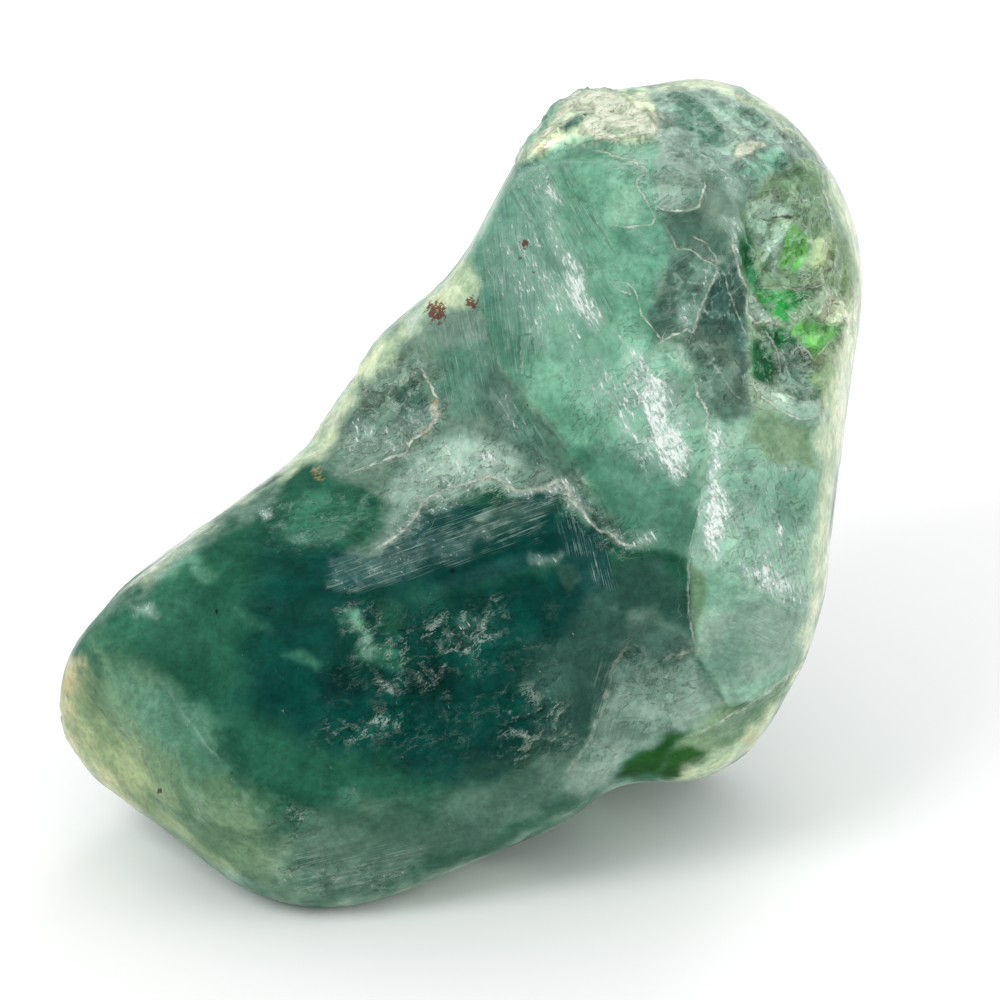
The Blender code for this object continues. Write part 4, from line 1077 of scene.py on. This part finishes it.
class NodeBench:
    """A material's node tree while it is made. Each method adds a node and gives its output."""

    def __init__(self, material):
        self.tree = material.node_tree
        self.tree.nodes.clear()

    def node(self, kind, **settings):
        """Adds a node in the next free place and sets its plain properties."""
        row, column = divmod(len(self.tree.nodes), NODES_IN_A_ROW)
        added = self.tree.nodes.new(kind)
        added.location = (column * NODE_SPACING, -row * NODE_SPACING)
        for name, value in settings.items():
            setattr(added, name, value)
        return added

    def feed(self, socket, value):
        """Gives a socket a number, a colour, or another node's output."""
        if isinstance(value, (int, float)):
            socket.default_value = value
        elif isinstance(value, (tuple, np.ndarray)):
            socket.default_value = (*value, 1.0)
        else:
            self.tree.links.new(value, socket)

    def attribute(self, name, output="Fac"):
        """The values that the skin carries under a name."""
        return self.node("ShaderNodeAttribute", attribute_name=name).outputs[output]

    def turned(self, vector, rotation=(0.0, 0.0, 0.0), scale=(1.0, 1.0, 1.0)):
        """A place turned and stretched."""
        mapping = self.node("ShaderNodeMapping")
        mapping.inputs["Rotation"].default_value = rotation
        mapping.inputs["Scale"].default_value = scale
        self.feed(mapping.inputs["Vector"], vector)
        return mapping.outputs[0]

    def times(self, vector, amount):
        """A place or a colour times a number."""
        product = self.node("ShaderNodeVectorMath", operation="SCALE")
        self.feed(product.inputs[0], vector)
        self.feed(product.inputs["Scale"], amount)
        return product.outputs[0]

    def mottle(self, vector, size, detail, distortion=0.0, roughness=0.6):
        """Layered noise with lumps of a size in millimetres."""
        texture = self.node("ShaderNodeTexNoise")
        self.feed(texture.inputs["Vector"], vector)
        self.feed(texture.inputs["Scale"], 1.0 / size)
        self.feed(texture.inputs["Detail"], detail)
        self.feed(texture.inputs["Distortion"], distortion)
        self.feed(texture.inputs["Roughness"], roughness)
        return texture.outputs["Fac"]

    def calculate(self, operation, *values, clamp=False):
        """One sum of two or three values."""
        result = self.node("ShaderNodeMath", operation=operation, use_clamp=clamp)
        for socket, value in zip(result.inputs, values):
            self.feed(socket, value)
        return result.outputs[0]

    def added(self, *values):
        """All the values together."""
        total = values[0]
        for value in values[1:]:
            total = self.calculate("ADD", total, value)
        return total

    def slope(self, value, low, high, to_low=0.0, to_high=1.0):
        """One number below low, another above high, and a soft slope between."""
        ramp = self.node("ShaderNodeMapRange", interpolation_type="SMOOTHSTEP")
        self.feed(ramp.inputs["Value"], value)
        self.feed(ramp.inputs["From Min"], low)
        self.feed(ramp.inputs["From Max"], high)
        self.feed(ramp.inputs["To Min"], to_low)
        self.feed(ramp.inputs["To Max"], to_high)
        return ramp.outputs["Result"]

    def band(self, value, middle, half_width, strength):
        """The strength where a value is at the middle, down to nothing at a half width from it."""
        off = self.calculate("ABSOLUTE", self.calculate("SUBTRACT", value, middle))
        return self.slope(off, 0.0, half_width, strength, 0.0)

    def mix(self, amount, under, over, blend="MIX"):
        """One colour over another."""
        mixer = self.node("ShaderNodeMix", data_type="RGBA", blend_type=blend)
        for place, value in ((0, amount), (6, under), (7, over)):
            self.feed(mixer.inputs[place], value)
        return mixer.outputs[2]


def mottled_depth(bench, solid):
    """The body colour in darker and lighter clouds with a fine grain, and the clouds' own noise."""
    body = bench.attribute("body_colour", "Color")
    broad = bench.mottle(solid, 8.0, 5.0, 0.3)
    fine = bench.mottle(solid, 1.1, 7.0, 0.0, 0.7)
    darker = bench.mix(1.0, body, DARKER_CLOUD, "MULTIPLY")
    lighter = bench.mix(1.0, body, LIGHTER_CLOUD, "MULTIPLY")
    clouded = bench.mix(bench.slope(broad, 0.38, 0.62), darker, lighter)
    return bench.times(clouded, bench.slope(fine, 0.28, 0.72, 0.8, 1.2)), broad


def cleavage_flakes(bench, solid, flake_way):
    """Flakes of cleavage: how much darker or lighter each is, and the bright rims here and there."""
    crackled = bench.attribute("crackled")
    flake = bench.mottle(flake_way, 4.5, 9.0, 0.5)
    splinter = bench.mottle(flake_way, 1.2, 9.0, 0.8, 0.68)
    step = bench.added(bench.slope(flake, 0.445, 0.46, -0.5, 0.0), bench.slope(flake, 0.53, 0.545, 0.0, 0.5))
    tone = bench.calculate("MULTIPLY", step, bench.calculate("MULTIPLY_ADD", crackled, 0.6, 0.08))
    flake_rims = bench.band(flake, 0.538, 0.014, 1.0)
    rims = bench.calculate("MAXIMUM", flake_rims, bench.band(splinter, 0.53, 0.03, 0.6))
    rims = bench.calculate("MAXIMUM", rims, bench.slope(splinter, 0.56, 0.7, 0.0, 0.6))
    rims = bench.calculate("MULTIPLY", rims, bench.slope(bench.mottle(solid, 2.4, 3.0, 0.6), 0.44, 0.62))
    return tone, bench.calculate("MULTIPLY", rims, crackled, clamp=True)


def frost_cover(bench, grain_way):
    """Frost, a bruised, whitened skin: a thin veil, the bright grains in it, and the grains' noise."""
    place = bench.attribute("frost")
    grain = bench.mottle(grain_way, 0.5, 4.0)
    clump = bench.mottle(grain_way, 2.4, 5.0, 0.6)
    veil = bench.slope(bench.added(place, bench.calculate("MULTIPLY", clump, 0.8)), 0.5, 1.4, 0.0, 0.72)
    height = bench.added(
        grain, bench.calculate("MULTIPLY", place, 0.36), bench.calculate("MULTIPLY", clump, 0.5)
    )
    return veil, bench.slope(height, 0.99, 1.12, 0.0, 0.94), grain


def scratch_cover(bench, solid):
    """Scratches that break off and start again: the pale lines and the dark lines beside them."""
    way = bench.turned(bench.attribute("scratch_place", "Vector"), scale=(5.0, 0.14, 1.0))
    scratched = bench.attribute("scratched")
    breaks = bench.calculate("MULTIPLY", bench.mottle(solid, 2.4, 3.0), 0.4)
    lines = bench.added(bench.mottle(way, 1.0, 3.0), breaks)
    pale = bench.calculate("MULTIPLY", bench.slope(lines, 0.7, 1.0, 0.0, 0.66), scratched)
    dark = bench.calculate("MULTIPLY", bench.slope(lines, 0.5, 0.68, 0.4, 0.0), scratched)
    return pale, dark


def vein_cover(bench, solid, crumbs):
    """Pale veins shaken by the crumbs' noise, and the dark hair lines where the tone is below zero."""
    tone = bench.attribute("line_tone")
    shake = bench.calculate("MULTIPLY", bench.calculate("SUBTRACT", crumbs, 0.5), 5.5)
    away = bench.calculate("ABSOLUTE", bench.added(bench.attribute("line_away"), shake))
    patches = bench.slope(bench.mottle(solid, 1.6, 4.0), 0.4, 0.58, 0.25, 1.0)
    near = bench.calculate("MULTIPLY", bench.slope(away, 0.4, 1.6, 0.9, 0.0), patches)
    pale = bench.calculate("MULTIPLY", near, tone, clamp=True)
    dark = bench.calculate("MULTIPLY", near, bench.calculate("MULTIPLY", tone, -1.0), clamp=True)
    return pale, dark


def grain_cover(bench, name, share, noise, low, high, strength):
    """Grains or stains where the noise stands out of a place that the skin carries."""
    place = bench.calculate("MULTIPLY", bench.attribute(name), share)
    return bench.slope(bench.added(place, noise), low, high, 0.0, strength)


def fluorite_material():
    """Clouded sea-green fluorite: painted depth, fine mottling, frost, crust and a waxy gloss."""
    material = bpy.data.materials.new("clouded_fluorite")
    material.use_nodes = True
    bench = NodeBench(material)
    shader = bench.node("ShaderNodeBsdfPrincipled")
    bench.feed(bench.node("ShaderNodeOutputMaterial").inputs["Surface"], shader.outputs["BSDF"])
    shader.inputs["IOR"].default_value = FLUORITE_IOR
    shader.inputs["Subsurface Weight"].default_value = 0.25
    shader.inputs["Subsurface Radius"].default_value = (0.5, 1.0, 0.8)
    shader.inputs["Subsurface Scale"].default_value = 2 * MM
    shader.inputs["Specular IOR Level"].default_value = 0.04
    shader.inputs["Coat Roughness"].default_value = 0.15
    shader.inputs["Coat IOR"].default_value = FLUORITE_IOR

    # Places in millimetres, and turned so that their third way runs down the streaks of the front
    solid = bench.times(bench.node("ShaderNodeTexCoord").outputs["Object"], 1 / MM)
    sight = bench.turned(solid, rotation=(SIGHT_ELEVATION, STREAK_TILT, 0.0))
    grain_way = bench.turned(sight, scale=(1.0, 1.0, 0.3))
    flake_way = bench.turned(sight, rotation=(0.3, 0.5, 0.35), scale=(0.6, 1.0, 1.3))

    # Depth, flakes and frost
    colour, broad = mottled_depth(bench, solid)
    flake_tone, rims = cleavage_flakes(bench, solid, flake_way)
    colour = bench.times(colour, bench.added(flake_tone, 1.0))
    veil, frost_grains, frost_noise = frost_cover(bench, grain_way)
    colour = bench.mix(veil, colour, FROST_VEIL)
    colour = bench.mix(frost_grains, colour, FROST_GRAIN)
    colour = bench.mix(rims, colour, FLAKE_RIM)

    # Scratches, then dust in tiny pale specks all over
    scratches, scratch_shade = scratch_cover(bench, solid)
    colour = bench.mix(scratches, colour, SCRATCH_PALE)
    colour = bench.mix(scratch_shade, colour, SCRATCH_DARK)
    dust = bench.slope(bench.mottle(solid, 0.34, 2.0), 0.72, 0.82, 0.0, 0.34)
    dust = bench.calculate("MULTIPLY", dust, bench.slope(broad, 0.4, 0.6, 0.15, 1.0))
    colour = bench.mix(dust, colour, DUST)

    # Crust: cream, crumbly, opaque
    crumbs = bench.mottle(flake_way, 1.0, 7.0, 0.3, 0.7)
    crust = bench.slope(bench.added(bench.attribute("crust"), crumbs), 0.9, 1.4, 0.0, 0.95)
    crust_tone = bench.slope(bench.mottle(flake_way, 1.9, 8.0, 0.6, 0.7), 0.3, 0.62)
    colour = bench.mix(crust, colour, bench.mix(crust_tone, CRUST_SHADE, CRUST_CREAM))

    # Veins, stains and grains
    pale_line, dark_line = vein_cover(bench, solid, crumbs)
    colour = bench.mix(pale_line, colour, VEIN_PALE)
    colour = bench.mix(dark_line, colour, HAIR_LINE)
    speck = bench.mottle(solid, 0.6, 4.0, 0.5)
    colour = bench.mix(grain_cover(bench, "ochre", 0.5, crumbs, 0.82, 1.06, 0.5), colour, OCHRE)
    colour = bench.mix(grain_cover(bench, "rust", 0.55, speck, 0.8, 0.9, 0.9), colour, RUST)
    colour = bench.mix(grain_cover(bench, "dark", 0.6, speck, 0.92, 1.02, 0.9), colour, DARK_GRAIN)
    bench.feed(shader.inputs["Base Color"], colour)

    # Gloss: waxy where the stone is bare, dull under frost and crust
    frost = bench.calculate("MAXIMUM", veil, frost_grains)
    whiteness = bench.calculate("MAXIMUM", frost, crust)
    bench.feed(shader.inputs["Roughness"], bench.slope(whiteness, 0.0, 1.0, 0.34, 0.7))
    bench.feed(shader.inputs["Coat Weight"], bench.attribute("waxy"))

    # Fine relief of the skin
    height = bench.added(
        bench.calculate("MULTIPLY", frost, frost_noise),
        bench.calculate("MULTIPLY", crust, crumbs),
        bench.calculate("MULTIPLY", bench.mottle(solid, 1.6, 7.0), 0.4),
        bench.calculate("MULTIPLY", scratches, 0.5),
        bench.calculate("MULTIPLY", pale_line, 0.8),
        bench.calculate("MULTIPLY", flake_tone, 2.0),
    )
    bump = bench.node("ShaderNodeBump")
    bump.inputs["Strength"].default_value = 1.0
    bump.inputs["Distance"].default_value = 0.5 * MM
    bench.feed(bump.inputs["Height"], height)
    bench.feed(shader.inputs["Normal"], bump.outputs["Normal"])
    return material


def plain_material(name, colour, roughness):
    """An even finish for the floor, which isn't part of the stone."""
    material = bpy.data.materials.new(name)
    material.use_nodes = True
    shader = material.node_tree.nodes["Principled BSDF"]
    shader.inputs["Base Color"].default_value = (*colour, 1.0)
    shader.inputs["Roughness"].default_value = roughness
    return material


def set_the_stage():
    """A plain pale floor, soft studio light and the camera."""
    bpy.ops.mesh.primitive_plane_add(size=8.0, location=(0.0, 0.0, -0.0001))
    floor = bpy.context.object
    floor.name = "floor"
    floor.data.materials.append(plain_material("pale_floor", (0.92, 0.92, 0.92), 0.9))
    world = bpy.data.worlds.new("soft_room")
    world.use_nodes = True
    world.node_tree.nodes["Background"].inputs["Color"].default_value = (1.0, 1.0, 1.0, 1.0)
    world.node_tree.nodes["Background"].inputs["Strength"].default_value = 0.82
    bpy.context.scene.world = world
    for name, place, size, power in (
        ("key_softbox", (-0.7, -0.7, 1.1), 0.6, 8.0),
        ("fill_softbox", (0.9, -0.5, 0.7), 0.9, 2.5),
        ("back_softbox", (0.3, 0.9, 0.8), 0.7, 4.0),
    ):
        light = bpy.data.lights.new(name, "AREA")
        light.size = size
        light.energy = power
        lamp = bpy.data.objects.new(name, light)
        lamp.location = place
        lamp.rotation_euler = (Vector((0, 0, 0.05)) - Vector(place)).to_track_quat("-Z", "Y").to_euler()
        bpy.context.scene.collection.objects.link(lamp)
    sine, cosine = math.sin(SIGHT_ELEVATION), math.cos(SIGHT_ELEVATION)
    towards_eye = Vector((0, -cosine, sine))
    upwards = Vector((0, sine, cosine))
    aim = Vector(CORE) + Vector((1, 0, 0)) * FRAME_MIDDLE[0] + upwards * FRAME_MIDDLE[1]
    camera = bpy.data.objects.new("camera", bpy.data.cameras.new("camera"))
    camera.location = (aim + towards_eye * EYE_DISTANCE) * MM
    camera.rotation_euler = (-towards_eye).to_track_quat("-Z", "Y").to_euler()
    camera.data.lens = camera.data.sensor_width * EYE_DISTANCE / FRAME_WIDTH
    camera.data.clip_end = 20.0
    bpy.context.scene.collection.objects.link(camera)
    bpy.context.scene.camera = camera
    bpy.context.scene.view_settings.view_transform = "Standard"


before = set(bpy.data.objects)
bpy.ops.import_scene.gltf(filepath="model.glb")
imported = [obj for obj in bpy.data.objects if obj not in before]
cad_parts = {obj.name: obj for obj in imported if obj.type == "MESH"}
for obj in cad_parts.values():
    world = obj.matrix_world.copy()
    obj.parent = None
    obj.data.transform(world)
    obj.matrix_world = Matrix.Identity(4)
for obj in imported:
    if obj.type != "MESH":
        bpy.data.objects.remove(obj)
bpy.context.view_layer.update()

stone = stone_skin(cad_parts["fluorite_stone"])
surface = Skin(stone.data)
surface.fair(FINE_FAIRING)
carve(surface)
paint(surface, stone.data)
stone.data.materials.append(fluorite_material())
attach(stone, "root")
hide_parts("fluorite_stone")
set_the_stage()
